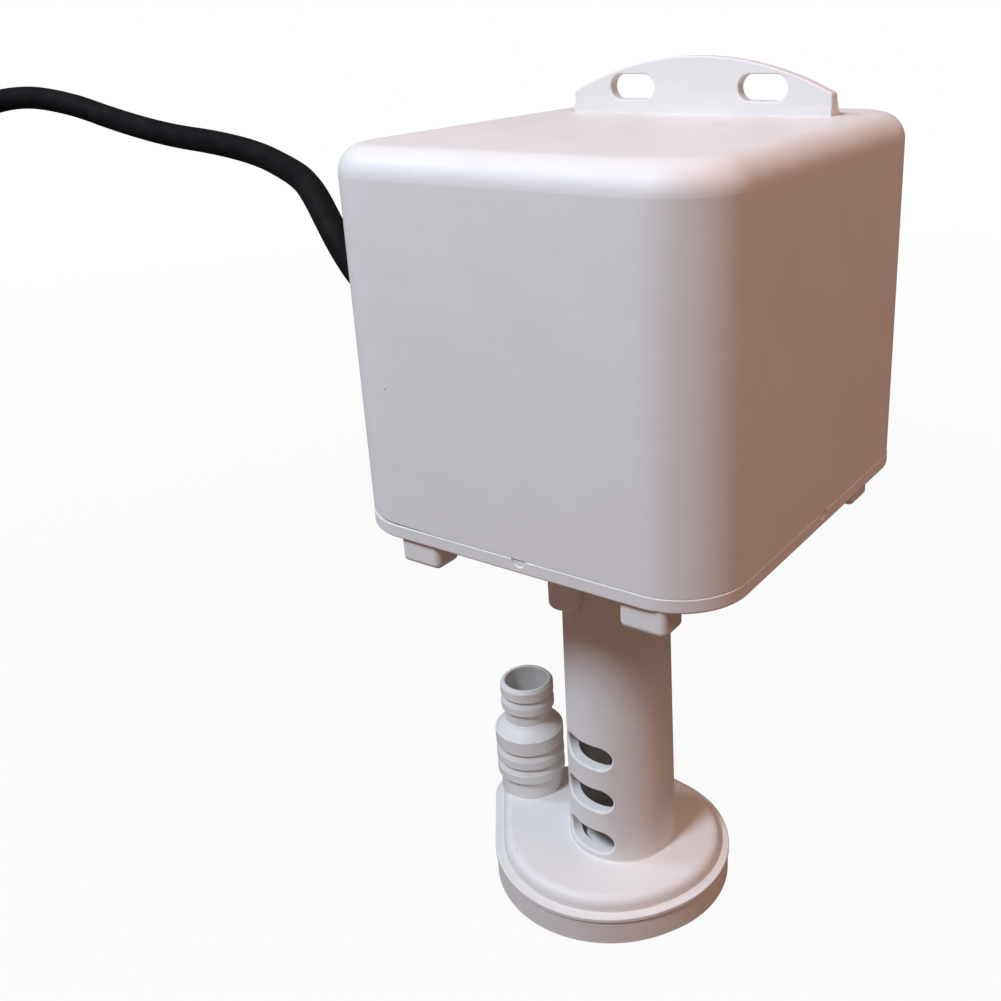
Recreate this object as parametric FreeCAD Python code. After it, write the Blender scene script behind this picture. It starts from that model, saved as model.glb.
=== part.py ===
import FreeCAD, Part
import math
import os

from FreeCAD import Vector

os.makedirs("parts", exist_ok=True)

# Sump pump for an ice maker, in millimetres.
# The origin is the centre of the suction inlet, on the underside of the volute.
# +Z runs up the shaft to the motor, -Y is the large front wall, +Y the side of the mounting flange.

# Motor cover, and the room it leaves round the motor
cover_wall = 2.5
cover_corner = 15.0
cover_top_round = 6.0
cover_edge_round = 0.1
cover_side_gap = 14.5
cover_front_gap = 12.0
cover_back_gap = 4.0
cover_head_gap = 1.85
seam_lift = 0.8
seam_lift_length = 32.0

# Slotted mounting flange on the cover
flange_inset = 24.1
flange_thick = 3.2
flange_half_width = 33.5
flange_end_rise = 4.7
flange_rise = 12.7
flange_slot_margin = 10.5
flange_slot_length = 12.1
flange_slot_radius = 2.9
flange_slot_rise = 5.8
flange_pad_thick = 0.4
flange_pad_rise = 1.5
flange_root_round = 3.0
flange_corner = 1.0
flange_edge_round = 0.4

# Base plate
seam_gap = 0.05
plate_thick = 3.1
plate_overhang = 0.1
plate_edge_round = 0.6
plate_lip_round = 0.25
rib_wall = 1.6
rib_height = 5.0
rib_clearance = 0.3
snap_width = 10.0
snap_height = 11.0
snap_nose_height = 2.4
snap_nose_depth = 0.55
snap_pocket_depth = 0.9
snap_pocket_clearance = 0.3
notch_radius = 1.75
notch_depth = 0.35
front_notch_x = 2.3
lug_height = 5.7
lug_round = 1.4
front_lug_length = 10.6
front_lug_depth = 7.2
left_lug_x = -25.6
right_lug_x = 30.7
front_lug_setback = 0.75
right_lug_setback = 0.75
side_lug_length = 9.4
side_lug_depth = 7.4
side_lug_y = 41.2
side_lug_setback = 2.6
vent_count = 4
vent_length = 26.0
vent_width = 3.0
vent_pitch = 6.5
vent_first_y = 30.0

# Volute, seen from above: a belt around three circles
volute_radius = 27.2
scroll_radius = 30.2
scroll_x = -3.5
outlet_x = -31.0
outlet_y = 2.9
outlet_pad_radius = 10.3
volute_wall = 6.7
floor_thick = 2.2
volute_cover_height = 6.6
gasket_thick = 0.4
gasket_setback = 0.9
rim_thick = 1.0
rim_band = 2.3
rim_edge_round = 0.3
crown_rise = 3.6
crown_round = 2.6
roof_thick = 2.2
inlet_radius = 7.5
inlet_lip_height = 1.0
inlet_lip_wall = 1.5
volute_edge_chamfer = 0.6

# Pump column
column_height = 95.4
column_bottom_radius = 13.5
column_top_radius = 12.6
column_wall = 2.8
column_root_round = 0.5
drain_slot_width = 14.2
drain_slot_radius = 3.1
drain_slot_first_rise = 5.0
drain_slot_pitch = 12.2
drain_slot_count = 3
drain_slot_angle = -100.0
drain_slot_lip = 0.5
boss_angle = -105.0
boss_offset = 15.0
boss_radius = 4.0
boss_length = 20.2
boss_round = 1.0
spigot_height = 4.0
spigot_wall = 1.8
spigot_clearance = 0.15

# Hose barb
outlet_bore_radius = 5.6
barb_base_radius = 8.2
barb_large_radius = 9.05
barb_large_groove = 8.2
barb_small_radius = 7.0
barb_small_groove = 6.3
barb_rim_radius = 6.4
barb_base_height = 5.2
barb_large_pitch = 4.45
barb_large_top = 4.0
barb_shoulder = 3.4
barb_neck_height = 3.3
barb_small_pitch = 4.1
barb_small_top = 3.5
barb_edge = 0.15
barb_lip_round = 0.35

# Shaft and turning pieces
shaft_radius = 2.5
shaft_clearance = 0.02
shaft_end_gap = 1.2
impeller_radius = 18.0
impeller_floor_gap = 1.0
impeller_roof_gap = 0.8
impeller_disc = 1.2
impeller_hub_radius = 4.4
vane_count = 6
vane_thick = 1.4
vane_inner_radius = 8.0
vane_sweep = 38.0
shaft_hole_radius = 4.5
slinger_radius = 8.0
slinger_thick = 1.6
slinger_hub_radius = 4.2
slinger_hub_height = 5.0
slinger_drop = 9.0
rotor_air_gap = 0.4
end_ring_height = 3.0
end_ring_wall = 4.6
spacer_radius = 4.0
end_play = 0.3
fan_radius = 22.0
fan_hub_radius = 6.0
fan_hub_height = 6.5
fan_blade_count = 6
fan_blade_chord = 7.0
fan_blade_thick = 1.2
fan_blade_angle = 35.0
fan_gap = 2.0

# Stator
core_thick = 20.0
core_half_width = 29.0
core_front = 24.0
stator_bore_radius = 12.6
window_half_width = 17.0
window_front = 19.0
window_gap = 8.0
bridge_depth = 12.0
core_corner = 2.5
shading_x = 9.5
shading_y = 12.8
shading_wire = 1.8
shading_clearance = 0.15

# Coil
bobbin_clearance = 0.2
bobbin_wall = 1.2
bobbin_flange = 1.2
bobbin_end_gap = 0.6
winding_depth = 6.6
winding_setback = 1.0
winding_corner = 3.0
tape_thick = 0.4
tape_margin = 3.0
terminal_width = 6.3
terminal_thick = 0.8
terminal_height = 12.0
terminal_spacing = 16.0
cutout_length = 12.0
cutout_depth = 10.0
cutout_height = 3.5

# Bearing brackets
bracket_arm_half_length = 27.0
bracket_arm_depth = 12.0
bracket_arm_thick = 3.5
bracket_post_radius = 4.5
bracket_screw_x = 22.5
lower_bracket_height = 24.8
lower_post_height = 10.0
upper_post_height = 6.0
bracket_hub_radius = 9.5
foot_radius = 20.0
foot_thick = 4.0
foot_boss_radius = 4.2
foot_boss_rise = 3.5
bush_radius = 7.0
bush_height = 8.0
bush_chamfer = 1.4
bush_fit = 0.02
retainer_thick = 0.6
retainer_overlap = 0.4
washer_radius = 5.0
washer_thick = 0.8
washer_clearance = 0.1

# Screws
screw_radius = 1.75
screw_clearance = 0.15
thread_clearance = 0.05
screw_head_radius = 3.2
screw_head_height = 2.4
head_clearance = 0.2
head_recess = 1.6
small_screw_radius = 1.25
small_head_radius = 2.0
small_head_height = 1.5
small_head_recess = 0.3
small_screw_reach = 9.4
volute_screw_angles = (15.0, 85.0)
scroll_screw_angles = (-62.0, -128.0)
screw_setback = 3.9
earth_side_setback = 15.5
earth_front_setback = 5.5
earth_screw_depth = 8.0
lug_ring_radius = 4.2
lug_ring_thick = 0.8
lug_width = 3.2
lug_length = 6.5
barrel_radius = 1.9
barrel_length = 4.5

# Supply cord
cord_diameter = 7.9
cord_exit_y = 26.0
cord_exit_rise = 24.5
relief_length = 20.0
relief_collar = 2.6
relief_collar_radius = 8.6
relief_tip_wall = 1.25
relief_root_wall = 3.2
relief_neck_radius = 6.0
relief_neck_clearance = 0.15
grip_radius = 9.4
grip_thick = 3.0
wire_radius = 1.0
wire_spread = 2.2
wire_lane_gap = 2.6
wire_loop_radius = 7.3
wire_loop_corners = 6
wire_loop_rise = 1.0
tie_thick = 1.2
tie_width = 5.0
tie_angle = 90.0
coil_x = -391.0
coil_y = -22.0
coil_mean_radius = 42.0
coil_columns = 2
coil_rows = 2
tail_start = 14.0
tail_length = 24.0
tail_drop = 3.0
boot_length = 13.0
boot_root_wall = 0.8
boot_tip_wall = 2.1
connector_width = 21.0
connector_length = 30.0
connector_height = 15.0
connector_wall = 1.6
connector_socket_depth = 13.0
connector_corner = 1.5
pin_axis_height = 4.6
pin_radius = 1.1
pin_length = 10.0
pin_pitch = 5.6
latch_length = 16.0
latch_width = 7.0
latch_thick = 1.4
latch_gap = 1.2
latch_root = 3.0
latch_setback = 3.0

# Places worked out from the sizes above
rim_bottom = volute_cover_height + gasket_thick
plate_bottom = rim_bottom + column_height
plate_top = plate_bottom + plate_thick
cover_bottom = plate_top + seam_gap
rim_top = rim_bottom + rim_thick
crown_top = rim_top + crown_rise
roof_z = crown_top - roof_thick
lower_arm_top = plate_top + lower_bracket_height
core_bottom = lower_arm_top + lower_post_height
core_top = core_bottom + core_thick
core_mid_z = core_bottom + core_thick / 2
upper_arm_bottom = core_top + upper_post_height
lower_bush_top = lower_arm_top
lower_bush_bottom = lower_bush_top - bush_height
upper_bush_bottom = upper_arm_bottom - (bush_height - bracket_arm_thick) / 2
upper_bush_top = upper_bush_bottom + bush_height
washer_low_top = lower_bush_top + washer_thick
washer_high_bottom = upper_bush_bottom - washer_thick
fan_bottom = upper_bush_top + retainer_thick + fan_gap
shaft_top = fan_bottom + fan_hub_height
impeller_bottom = floor_thick + impeller_floor_gap
impeller_top = roof_z - impeller_roof_gap
winding_reach = bobbin_clearance + bobbin_wall + winding_depth
bobbin_reach = winding_reach + winding_setback
bridge_front = window_front + window_gap + bobbin_reach
bridge_back = bridge_front + bridge_depth
bridge_mid_y = bridge_front + bridge_depth / 2
earth_x = -(core_half_width - earth_side_setback)
earth_y = -(core_front - earth_front_setback)
half_width = core_half_width + cover_side_gap + cover_wall
front_y = -(core_front + cover_front_gap + cover_wall)
back_y = bridge_back + bobbin_reach + cover_back_gap + cover_wall
cover_top = shaft_top + cover_head_gap + cover_wall
flange_front_y = back_y - flange_inset
flange_slot_x = flange_half_width - flange_slot_margin - flange_slot_length / 2
relief_tip_x = -half_width - relief_length
cord_exit_z = plate_top + cord_exit_rise
cord_radius = cord_diameter / 2
coil_height = coil_rows * cord_diameter
relief_tip_radius = cord_radius + relief_tip_wall
relief_root_radius = cord_radius + relief_root_wall

# Corners of the cord's route: the first ones from the tip of the strain relief,
# the last ones from the centre of the coil on the ground
cord_leaving = [
    (0, 0, 0), (-12, 0, 0), (-23.3, -0.2, 3.2), (-32.8, -0.6, 9.5), (-40, -0.2, 17.6),
    (-47.4, 2.2, 25.1), (-56.2, 6.8, 30.6), (-68, 14, 33.4), (-82, 21, 35.2),
    (-101, 25.8, 38.8), (-123, 27, 41.5), (-148, 27.5, 43), (-174, 26, 47.5),
    (-196, 23, 53.5), (-216.8, 16.6, 56.6), (-234.8, 5, 51.6),
]
cord_arriving = [
    (78.7, 39.3, 168.7), (73.6, 28.7, 149), (71.7, 23.6, 125.6), (70, 21.5, 99.7),
    (68.4, 20.6, 73.8), (66.7, 17.7, 43.5), (62.1, 9, 24.6), (53.4, -3.9, 11.8), (41, -18.5, 6.4),
]


def box(x0, x1, y0, y1, z0, z1):
    return Part.makeBox(x1 - x0, y1 - y0, z1 - z0, Vector(x0, y0, z0))


def rod(radius, z0, z1, x=0.0, y=0.0):
    return Part.makeCylinder(radius, z1 - z0, Vector(x, y, z0))


def rod_x(radius, x0, x1, y, z):
    return Part.makeCylinder(radius, x1 - x0, Vector(x0, y, z), Vector(1, 0, 0))


def ring(outer, inner, z0, z1, x=0.0, y=0.0):
    return rod(outer, z0, z1, x, y).cut(rod(inner, z0, z1, x, y))


def polar(radius, degrees, x=0.0, y=0.0):
    turn = math.radians(degrees)
    return x + radius * math.cos(turn), y + radius * math.sin(turn)


def upright_edges(shape):
    found = []
    for edge in shape.Edges:
        low = edge.BoundBox
        if low.ZLength > 0.5 and low.XLength < 0.01 and low.YLength < 0.01:
            found.append(edge)
    return found


def edges_at_height(shape, z):
    found = []
    for edge in shape.Edges:
        if abs(edge.BoundBox.ZMin - z) < 0.01 and abs(edge.BoundBox.ZMax - z) < 0.01:
            found.append(edge)
    return found


def rounded_block(x0, x1, y0, y1, z0, z1, corner, top_round=0.0):
    shape = box(x0, x1, y0, y1, z0, z1)
    shape = shape.makeFillet(corner, upright_edges(shape))
    if top_round > 0:
        shape = shape.makeFillet(top_round, edges_at_height(shape, z1))
    return shape


def housing_block(inset, z0, z1, top_round=0.0):
    return rounded_block(-half_width + inset, half_width - inset, front_y + inset, back_y - inset,
                         z0, z1, cover_corner - inset, top_round)


def fused(first, others):
    shape = first
    for other in others:
        shape = shape.fuse(other)
    return shape.removeSplitter()


def cut_all(shape, tools):
    for tool in tools:
        shape = shape.cut(tool)
    return shape


def revolved(profile, x=0.0, y=0.0):
    points = [Vector(x + radius, y, z) for radius, z in profile]
    points.append(points[0])
    face = Part.Face(Part.makePolygon(points))
    return face.revolve(Vector(x, y, 0), Vector(0, 0, 1), 360)


def save(name, shape):
    solids = shape.Solids
    body = solids[0] if len(solids) == 1 else Part.makeCompound(solids)
    body.exportStep("parts/" + name + ".step")
    print(name, "solids", len(solids), "valid", body.isValid(), "volume", round(body.Volume, 1))


# Belt outlines: arcs round a list of circles, joined by their outer tangents
def tangent_turn(first, second):
    dx = second[0] - first[0]
    dy = second[1] - first[1]
    return math.atan2(dy, dx) - math.acos((first[2] - second[2]) / math.hypot(dx, dy))


def circle_point(circle, turn, z):
    return Vector(circle[0] + circle[2] * math.cos(turn), circle[1] + circle[2] * math.sin(turn), z)


def belt_block(circles, z0, z1):
    count = len(circles)
    leaving = [tangent_turn(circles[i], circles[(i + 1) % count]) for i in range(count)]
    edges = []
    for i in range(count):
        start = leaving[i - 1]
        end = leaving[i]
        while end <= start:
            end += 2 * math.pi
        middle = (start + end) / 2
        arc = Part.Arc(circle_point(circles[i], start, z0), circle_point(circles[i], middle, z0),
                       circle_point(circles[i], end, z0))
        edges.append(arc.toShape())
        following = circles[(i + 1) % count]
        edges.append(Part.LineSegment(circle_point(circles[i], end, z0),
                                      circle_point(following, end, z0)).toShape())
    return Part.Face(Part.Wire(edges)).extrude(Vector(0, 0, z1 - z0))


def volute_circles(inset):
    return [(0.0, 0.0, volute_radius - inset), (outlet_x, outlet_y, outlet_pad_radius - inset),
            (scroll_x, 0.0, scroll_radius - inset)]


def chamber_circles():
    return [(0.0, 0.0, volute_radius - volute_wall), (outlet_x, outlet_y, outlet_bore_radius),
            (scroll_x, 0.0, scroll_radius - volute_wall)]


def volute_screw_places():
    places = [polar(volute_radius - screw_setback, turn) for turn in volute_screw_angles]
    places += [polar(scroll_radius - screw_setback, turn, scroll_x) for turn in scroll_screw_angles]
    return places


def column_screw_places():
    return [polar(boss_offset, boss_angle), polar(boss_offset, boss_angle + 180)]


# Motor cover with its flange
def flange_plate():
    z0 = cover_top - cover_wall
    ends = cover_top + flange_end_rise
    apex = cover_top + flange_rise
    left = Vector(-flange_half_width, flange_front_y, z0)
    right = Vector(flange_half_width, flange_front_y, z0)
    left_end = Vector(-flange_half_width, flange_front_y, ends)
    right_end = Vector(flange_half_width, flange_front_y, ends)
    arc = Part.Arc(left_end, Vector(0, flange_front_y, apex), right_end)
    edges = [Part.LineSegment(left, left_end).toShape(), arc.toShape(),
             Part.LineSegment(right_end, right).toShape(), Part.LineSegment(right, left).toShape()]
    plate = Part.Face(Part.Wire(edges)).extrude(Vector(0, flange_thick, 0))
    corners = [edge for edge in plate.Edges
               if edge.BoundBox.ZMin > cover_top and edge.BoundBox.XLength < 0.01 < edge.BoundBox.YLength]
    plate = plate.makeFillet(flange_corner, corners)
    for side in (-1, 1):
        plate = plate.cut(flange_slot(side * flange_slot_x))
    rims = [edge for edge in plate.Edges
            if edge.BoundBox.YLength < 0.01 and edge.BoundBox.ZMax > cover_top]
    return plate.makeFillet(flange_edge_round, rims)


def flange_slot(x):
    z = cover_top + flange_slot_rise
    straight = flange_slot_length / 2 - flange_slot_radius
    y0 = flange_front_y - 1
    through = flange_thick + 2
    middle = box(x - straight, x + straight, y0, y0 + through,
                 z - flange_slot_radius, z + flange_slot_radius)
    ends = []
    for side in (-1, 1):
        centre = Vector(x + side * straight, y0, z)
        ends.append(Part.makeCylinder(flange_slot_radius, through, centre, Vector(0, 1, 0)))
    return fused(middle, ends)


def flange_root():
    reach = flange_half_width
    pad = box(-reach, reach, flange_front_y - flange_pad_thick, flange_front_y + flange_edge_round,
              cover_top - cover_wall, cover_top + flange_pad_rise)
    back = flange_front_y + flange_thick
    fillet = box(-reach, reach, back - flange_edge_round, back + flange_root_round,
                 cover_top - cover_wall, cover_top + flange_root_round)
    hollow = Part.makeCylinder(flange_root_round, 2 * flange_half_width + 2,
                               Vector(-flange_half_width - 1, back + flange_root_round,
                                      cover_top + flange_root_round), Vector(1, 0, 0))
    return pad, fillet.cut(hollow)


def snap_stations():
    mid_y = (front_y + back_y) / 2
    return [(0.0, front_y, 0.0, -1.0), (0.0, back_y, 0.0, 1.0),
            (-half_width, mid_y, -1.0, 0.0), (half_width, mid_y, 1.0, 0.0)]


def block_at_wall(station, near, far, length, z0, z1):
    x, y, nx, ny = station
    if nx:
        x0, x1 = sorted((x - nx * near, x - nx * far))
        return box(x0, x1, y - length / 2, y + length / 2, z0, z1)
    y0, y1 = sorted((y - ny * near, y - ny * far))
    return box(x - length / 2, x + length / 2, y0, y1, z0, z1)


def motor_cover():
    shell = housing_block(0.0, cover_bottom, cover_top, cover_top_round)
    shell = shell.makeFillet(cover_edge_round, edges_at_height(shell, cover_bottom))
    hollow = housing_block(cover_wall, cover_bottom - 1, cover_top - cover_wall,
                           cover_top_round - cover_wall)
    pad, root = flange_root()
    shell = fused(shell, [flange_plate(), pad, root]).cut(hollow)
    nose_top = plate_top + snap_height
    for station in snap_stations():
        shell = shell.cut(block_at_wall(station, cover_wall - snap_pocket_depth, cover_wall + 1,
                                        snap_width + 2 * snap_pocket_clearance,
                                        nose_top - snap_nose_height - snap_pocket_clearance,
                                        nose_top + snap_pocket_clearance))
    cord_hole = rod_x(relief_neck_radius + relief_neck_clearance, -half_width - 1,
                      -half_width + cover_wall + 1, cord_exit_y, cord_exit_z)
    return shell.cut(cord_hole).cut(seam_wedge())


# The cover stands off its plate at the front left corner
def seam_wedge():
    x0 = -half_width - 1
    y0 = front_y - 1
    slope = seam_lift / seam_lift_length
    points = [Vector(x0, y0, cover_bottom - 1), Vector(x0, y0, cover_bottom + seam_lift + slope),
              Vector(-half_width + seam_lift_length, y0, cover_bottom),
              Vector(-half_width + seam_lift_length, y0, cover_bottom - 1)]
    points.append(points[0])
    return Part.Face(Part.makePolygon(points)).extrude(Vector(0, cover_corner + 1, 0))


# Base plate
def corner_lugs():
    front_left = (left_lug_x, front_y + front_lug_setback + front_lug_depth / 2,
                  front_lug_length, front_lug_depth)
    front_right = (right_lug_x, front_y + right_lug_setback + front_lug_depth / 2,
                   front_lug_length, front_lug_depth)
    side_x = half_width - side_lug_setback - side_lug_depth / 2
    side_right = (side_x, side_lug_y, side_lug_depth, side_lug_length)
    side_left = (-side_x, side_lug_y, side_lug_depth, side_lug_length)
    lugs = []
    for x, y, length, depth in (front_left, front_right, side_right, side_left):
        lug = box(x - length / 2, x + length / 2, y - depth / 2, y + depth / 2,
                  plate_bottom - lug_height, plate_bottom + plate_thick / 2)
        lug = lug.makeFillet(lug_round, upright_edges(lug))
        lugs.append(lug.makeFillet(lug_round * 0.9, edges_at_height(lug, plate_bottom - lug_height)))
    return lugs


def snap_hooks():
    inside = cover_wall + rib_clearance
    hooks = []
    for station in snap_stations():
        blade = block_at_wall(station, inside, inside + rib_wall, snap_width,
                              plate_top - 1, plate_top + snap_height)
        nose = block_at_wall(station, cover_wall - snap_nose_depth, inside, snap_width,
                             plate_top + snap_height - snap_nose_height, plate_top + snap_height)
        hooks += [blade, nose]
    return hooks


def base_plate():
    plate = housing_block(-plate_overhang, plate_bottom, plate_top)
    plate = plate.makeFillet(plate_edge_round, edges_at_height(plate, plate_bottom))
    plate = plate.makeFillet(plate_lip_round, edges_at_height(plate, plate_top))
    inside = cover_wall + rib_clearance
    rib = housing_block(inside, plate_top - 1, plate_top + rib_height).cut(
        housing_block(inside + rib_wall, plate_top - 2, plate_top + rib_height + 1))
    spigot_radius = column_top_radius - column_wall - spigot_clearance
    spigot = ring(spigot_radius, spigot_radius - spigot_wall,
                  plate_bottom - spigot_height, plate_bottom + 1)
    plate = fused(plate, [rib, spigot] + corner_lugs() + snap_hooks())
    tools = [rod(shaft_hole_radius, plate_bottom - 1, plate_top + 1)]
    for x, y in column_screw_places():
        tools.append(rod(screw_radius + screw_clearance, plate_bottom - 1, plate_top + 1, x, y))
    for x, y, nx, ny in snap_stations():
        axis = Vector(nx, ny, 0)
        inward = notch_depth - plate_overhang
        along = front_notch_x if ny < 0 else 0.0
        start = Vector(x - nx * inward + along, y - ny * inward, plate_top)
        tools.append(Part.makeCylinder(notch_radius, notch_depth + 1, start, axis))
    for i in range(vent_count):
        y = vent_first_y + i * vent_pitch
        tools.append(box(-vent_length / 2, vent_length / 2, y, y + vent_width,
                         plate_bottom - 1, plate_top + 1))
    return cut_all(plate, tools)


# Volute and pump column
def volute_cover():
    shape = belt_block(volute_circles(0.3), 0.0, volute_cover_height)
    shape = shape.makeChamfer(volute_edge_chamfer, edges_at_height(shape, 0.0))
    shape = shape.cut(belt_block(chamber_circles(), floor_thick, volute_cover_height + 1))
    lip = rod(inlet_radius + inlet_lip_wall, floor_thick - 0.5, floor_thick + inlet_lip_height - 0.2)
    shape = shape.fuse(lip).cut(rod(inlet_radius, -1, volute_cover_height))
    tools = []
    for x, y in volute_screw_places():
        tools.append(rod(small_screw_radius + screw_clearance, -1, volute_cover_height + 1, x, y))
        tools.append(rod(small_head_radius + head_clearance, -1,
                         small_head_recess + small_head_height, x, y))
    return cut_all(shape, tools)


def volute_gasket():
    shape = belt_block(volute_circles(gasket_setback), volute_cover_height, rim_bottom)
    shape = shape.cut(belt_block(chamber_circles(), volute_cover_height - 1, rim_bottom + 1))
    holes = [rod(small_screw_radius + screw_clearance, volute_cover_height - 1, rim_bottom + 1, x, y)
             for x, y in volute_screw_places()]
    return cut_all(shape, holes)


def barb_profile():
    z = crown_top - 0.6
    outline = [(outlet_bore_radius, z), (barb_base_radius, z)]
    z = crown_top + barb_base_height
    outline.append((barb_base_radius, z))
    for i in range(2):
        outline += [(barb_large_radius - barb_edge, z), (barb_large_radius, z + barb_edge),
                    (barb_large_radius, z + barb_large_pitch / 2),
                    (barb_large_groove, z + barb_large_pitch)]
        z += barb_large_pitch
    outline += [(barb_large_radius - barb_edge, z), (barb_large_radius, z + barb_edge)]
    z += barb_large_top
    outline += [(barb_large_radius, z), (barb_large_radius - 0.9, z + 1.1),
                (barb_small_groove + 0.6, z + barb_shoulder - 0.9), (barb_small_groove, z + barb_shoulder)]
    z += barb_shoulder + barb_neck_height
    outline.append((barb_small_groove, z))
    outline += [(barb_small_radius - barb_edge, z), (barb_small_radius, z + barb_edge),
                (barb_small_radius, z + barb_small_pitch / 2), (barb_small_groove, z + barb_small_pitch)]
    z += barb_small_pitch
    outline += [(barb_small_radius - barb_edge, z), (barb_small_radius, z + barb_edge),
                (barb_small_radius, z + barb_small_top - 0.9), (barb_rim_radius, z + barb_small_top),
                (outlet_bore_radius, z + barb_small_top)]
    return outline


def drain_slot(z):
    straight = drain_slot_width / 2 - drain_slot_radius
    reach = column_bottom_radius + 5
    middle = box(0, reach, -straight, straight, z - drain_slot_radius, z + drain_slot_radius)
    ends = [Part.makeCylinder(drain_slot_radius, reach, Vector(0, side * straight, z), Vector(1, 0, 0))
            for side in (-1, 1)]
    slot = fused(middle, ends)
    slot.rotate(Vector(0, 0, 0), Vector(0, 0, 1), drain_slot_angle)
    return slot


def screw_boss(x, y):
    bottom = plate_bottom - boss_length
    boss = rod(boss_radius, bottom, plate_bottom, x, y)
    return boss.makeFillet(boss_round, edges_at_height(boss, bottom))


def column_root_edges(shape):
    return [edge for edge in edges_at_height(shape, crown_top)
            if edge.BoundBox.XMax < column_bottom_radius and edge.BoundBox.XMin > -column_bottom_radius]


def drain_slot_lips(shape):
    slope = (column_bottom_radius - column_top_radius) / column_height
    found = []
    for edge in shape.Edges:
        low = edge.BoundBox
        if low.ZMin < crown_top + 1 or low.ZLength > 2 * drain_slot_radius + 0.1:
            continue
        skin = [math.hypot(point.x, point.y) - column_bottom_radius + slope * (point.z - rim_bottom)
                for point in edge.discretize(5)]
        if max(skin) < 0.02 and min(skin) > -0.02 and low.ZMax < plate_bottom - boss_length:
            found.append(edge)
    return found


def pump_column():
    rim = belt_block(volute_circles(0.0), rim_bottom, rim_top)
    rim = rim.makeFillet(rim_edge_round, edges_at_height(rim, rim_top))
    crown = belt_block(volute_circles(rim_band), rim_bottom, crown_top)
    crown = crown.makeFillet(crown_round, edges_at_height(crown, crown_top))
    stem = Part.makeCone(column_bottom_radius, column_top_radius, plate_bottom - rim_bottom,
                         Vector(0, 0, rim_bottom))
    barb = revolved(barb_profile(), outlet_x, outlet_y)
    barb = barb.makeFillet(barb_lip_round, edges_at_height(barb, barb.BoundBox.ZMax))
    bosses = [screw_boss(x, y) for x, y in column_screw_places()]
    shape = fused(rim, [crown, stem, barb] + bosses)
    shape = shape.makeFillet(column_root_round, column_root_edges(shape))
    tools = [Part.makeCone(column_bottom_radius - column_wall, column_top_radius - column_wall,
                           plate_bottom - crown_top + 1, Vector(0, 0, crown_top)),
             rod(shaft_hole_radius, rim_bottom, crown_top + 1),
             belt_block(chamber_circles(), rim_bottom - 1, roof_z),
             rod(outlet_bore_radius, rim_bottom, crown_top + 1, outlet_x, outlet_y)]
    for i in range(drain_slot_count):
        tools.append(drain_slot(crown_top + drain_slot_first_rise + i * drain_slot_pitch))
    for x, y in volute_screw_places():
        tools.append(rod(small_screw_radius + thread_clearance, rim_bottom - 1,
                         small_screw_reach + 0.2, x, y))
    head_top = plate_bottom - boss_length + head_recess + screw_head_height
    for x, y in column_screw_places():
        tools.append(rod(screw_radius + screw_clearance, head_top - 1, plate_bottom + 1, x, y))
        tools.append(rod(screw_head_radius + head_clearance, plate_bottom - boss_length - 1,
                         head_top, x, y))
    shape = cut_all(shape, tools)
    return shape.makeFillet(drain_slot_lip, drain_slot_lips(shape))


# Shaft and everything that turns with it
def shaft():
    return rod(shaft_radius, impeller_bottom + shaft_end_gap, shaft_top)


def vane(turn):
    points = []
    steps = 6
    for side in (-1, 1):
        row = []
        for i in range(steps + 1):
            share = i / steps
            radius = vane_inner_radius + share * (impeller_radius - 0.4 - vane_inner_radius)
            x, y = polar(radius, turn - vane_sweep * share)
            row.append((x, y))
        offset = vane_thick / 2 * side
        moved = []
        for x, y in row:
            angle = math.atan2(y, x) - math.radians(vane_sweep) + math.pi / 2
            moved.append(Vector(x + offset * math.cos(angle), y + offset * math.sin(angle), impeller_bottom))
        points.append(moved)
    outline = points[0] + points[1][::-1]
    outline.append(outline[0])
    height = impeller_top - impeller_disc - impeller_bottom
    return Part.Face(Part.makePolygon(outline)).extrude(Vector(0, 0, height + 0.2))


def impeller():
    disc = rod(impeller_radius, impeller_top - impeller_disc, impeller_top)
    hub = rod(impeller_hub_radius, impeller_bottom, impeller_top)
    vanes = [vane(i * 360 / vane_count) for i in range(vane_count)]
    shape = fused(disc, [hub] + vanes)
    return shape.cut(rod(shaft_radius, impeller_bottom + shaft_end_gap, impeller_top + 1))


def slinger():
    top = plate_bottom - slinger_drop
    disc = rod(slinger_radius, top - slinger_thick, top)
    hub = rod(slinger_hub_radius, top - slinger_hub_height, top)
    return disc.fuse(hub).cut(rod(shaft_radius, top - slinger_hub_height - 1, top + 1)).removeSplitter()


def rotor_core():
    return ring(stator_bore_radius - rotor_air_gap, shaft_radius, core_bottom, core_top)


def rotor_cage():
    outer = stator_bore_radius - rotor_air_gap
    inner = outer - end_ring_wall
    low = ring(outer, inner, core_bottom - end_ring_height, core_bottom)
    high = ring(outer, inner, core_top, core_top + end_ring_height)
    return Part.makeCompound([low, high])


def rotor_spacers():
    low = ring(spacer_radius, shaft_radius, washer_low_top + end_play, core_bottom)
    high = ring(spacer_radius, shaft_radius, core_top, washer_high_bottom - end_play)
    return Part.makeCompound([low, high])


def cooling_fan():
    hub = rod(fan_hub_radius, fan_bottom, fan_bottom + fan_hub_height)
    middle = fan_bottom + fan_hub_height / 2
    blades = []
    for i in range(fan_blade_count):
        blade = box(fan_hub_radius - 1.5, fan_radius, -fan_blade_chord / 2, fan_blade_chord / 2,
                    middle - fan_blade_thick / 2, middle + fan_blade_thick / 2)
        blade.rotate(Vector(0, 0, middle), Vector(1, 0, 0), fan_blade_angle)
        blade.rotate(Vector(0, 0, middle), Vector(0, 0, 1), i * 360 / fan_blade_count)
        blades.append(blade)
    return fused(hub, blades).cut(rod(shaft_radius, fan_bottom - 1, fan_bottom + fan_hub_height + 1))


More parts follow.
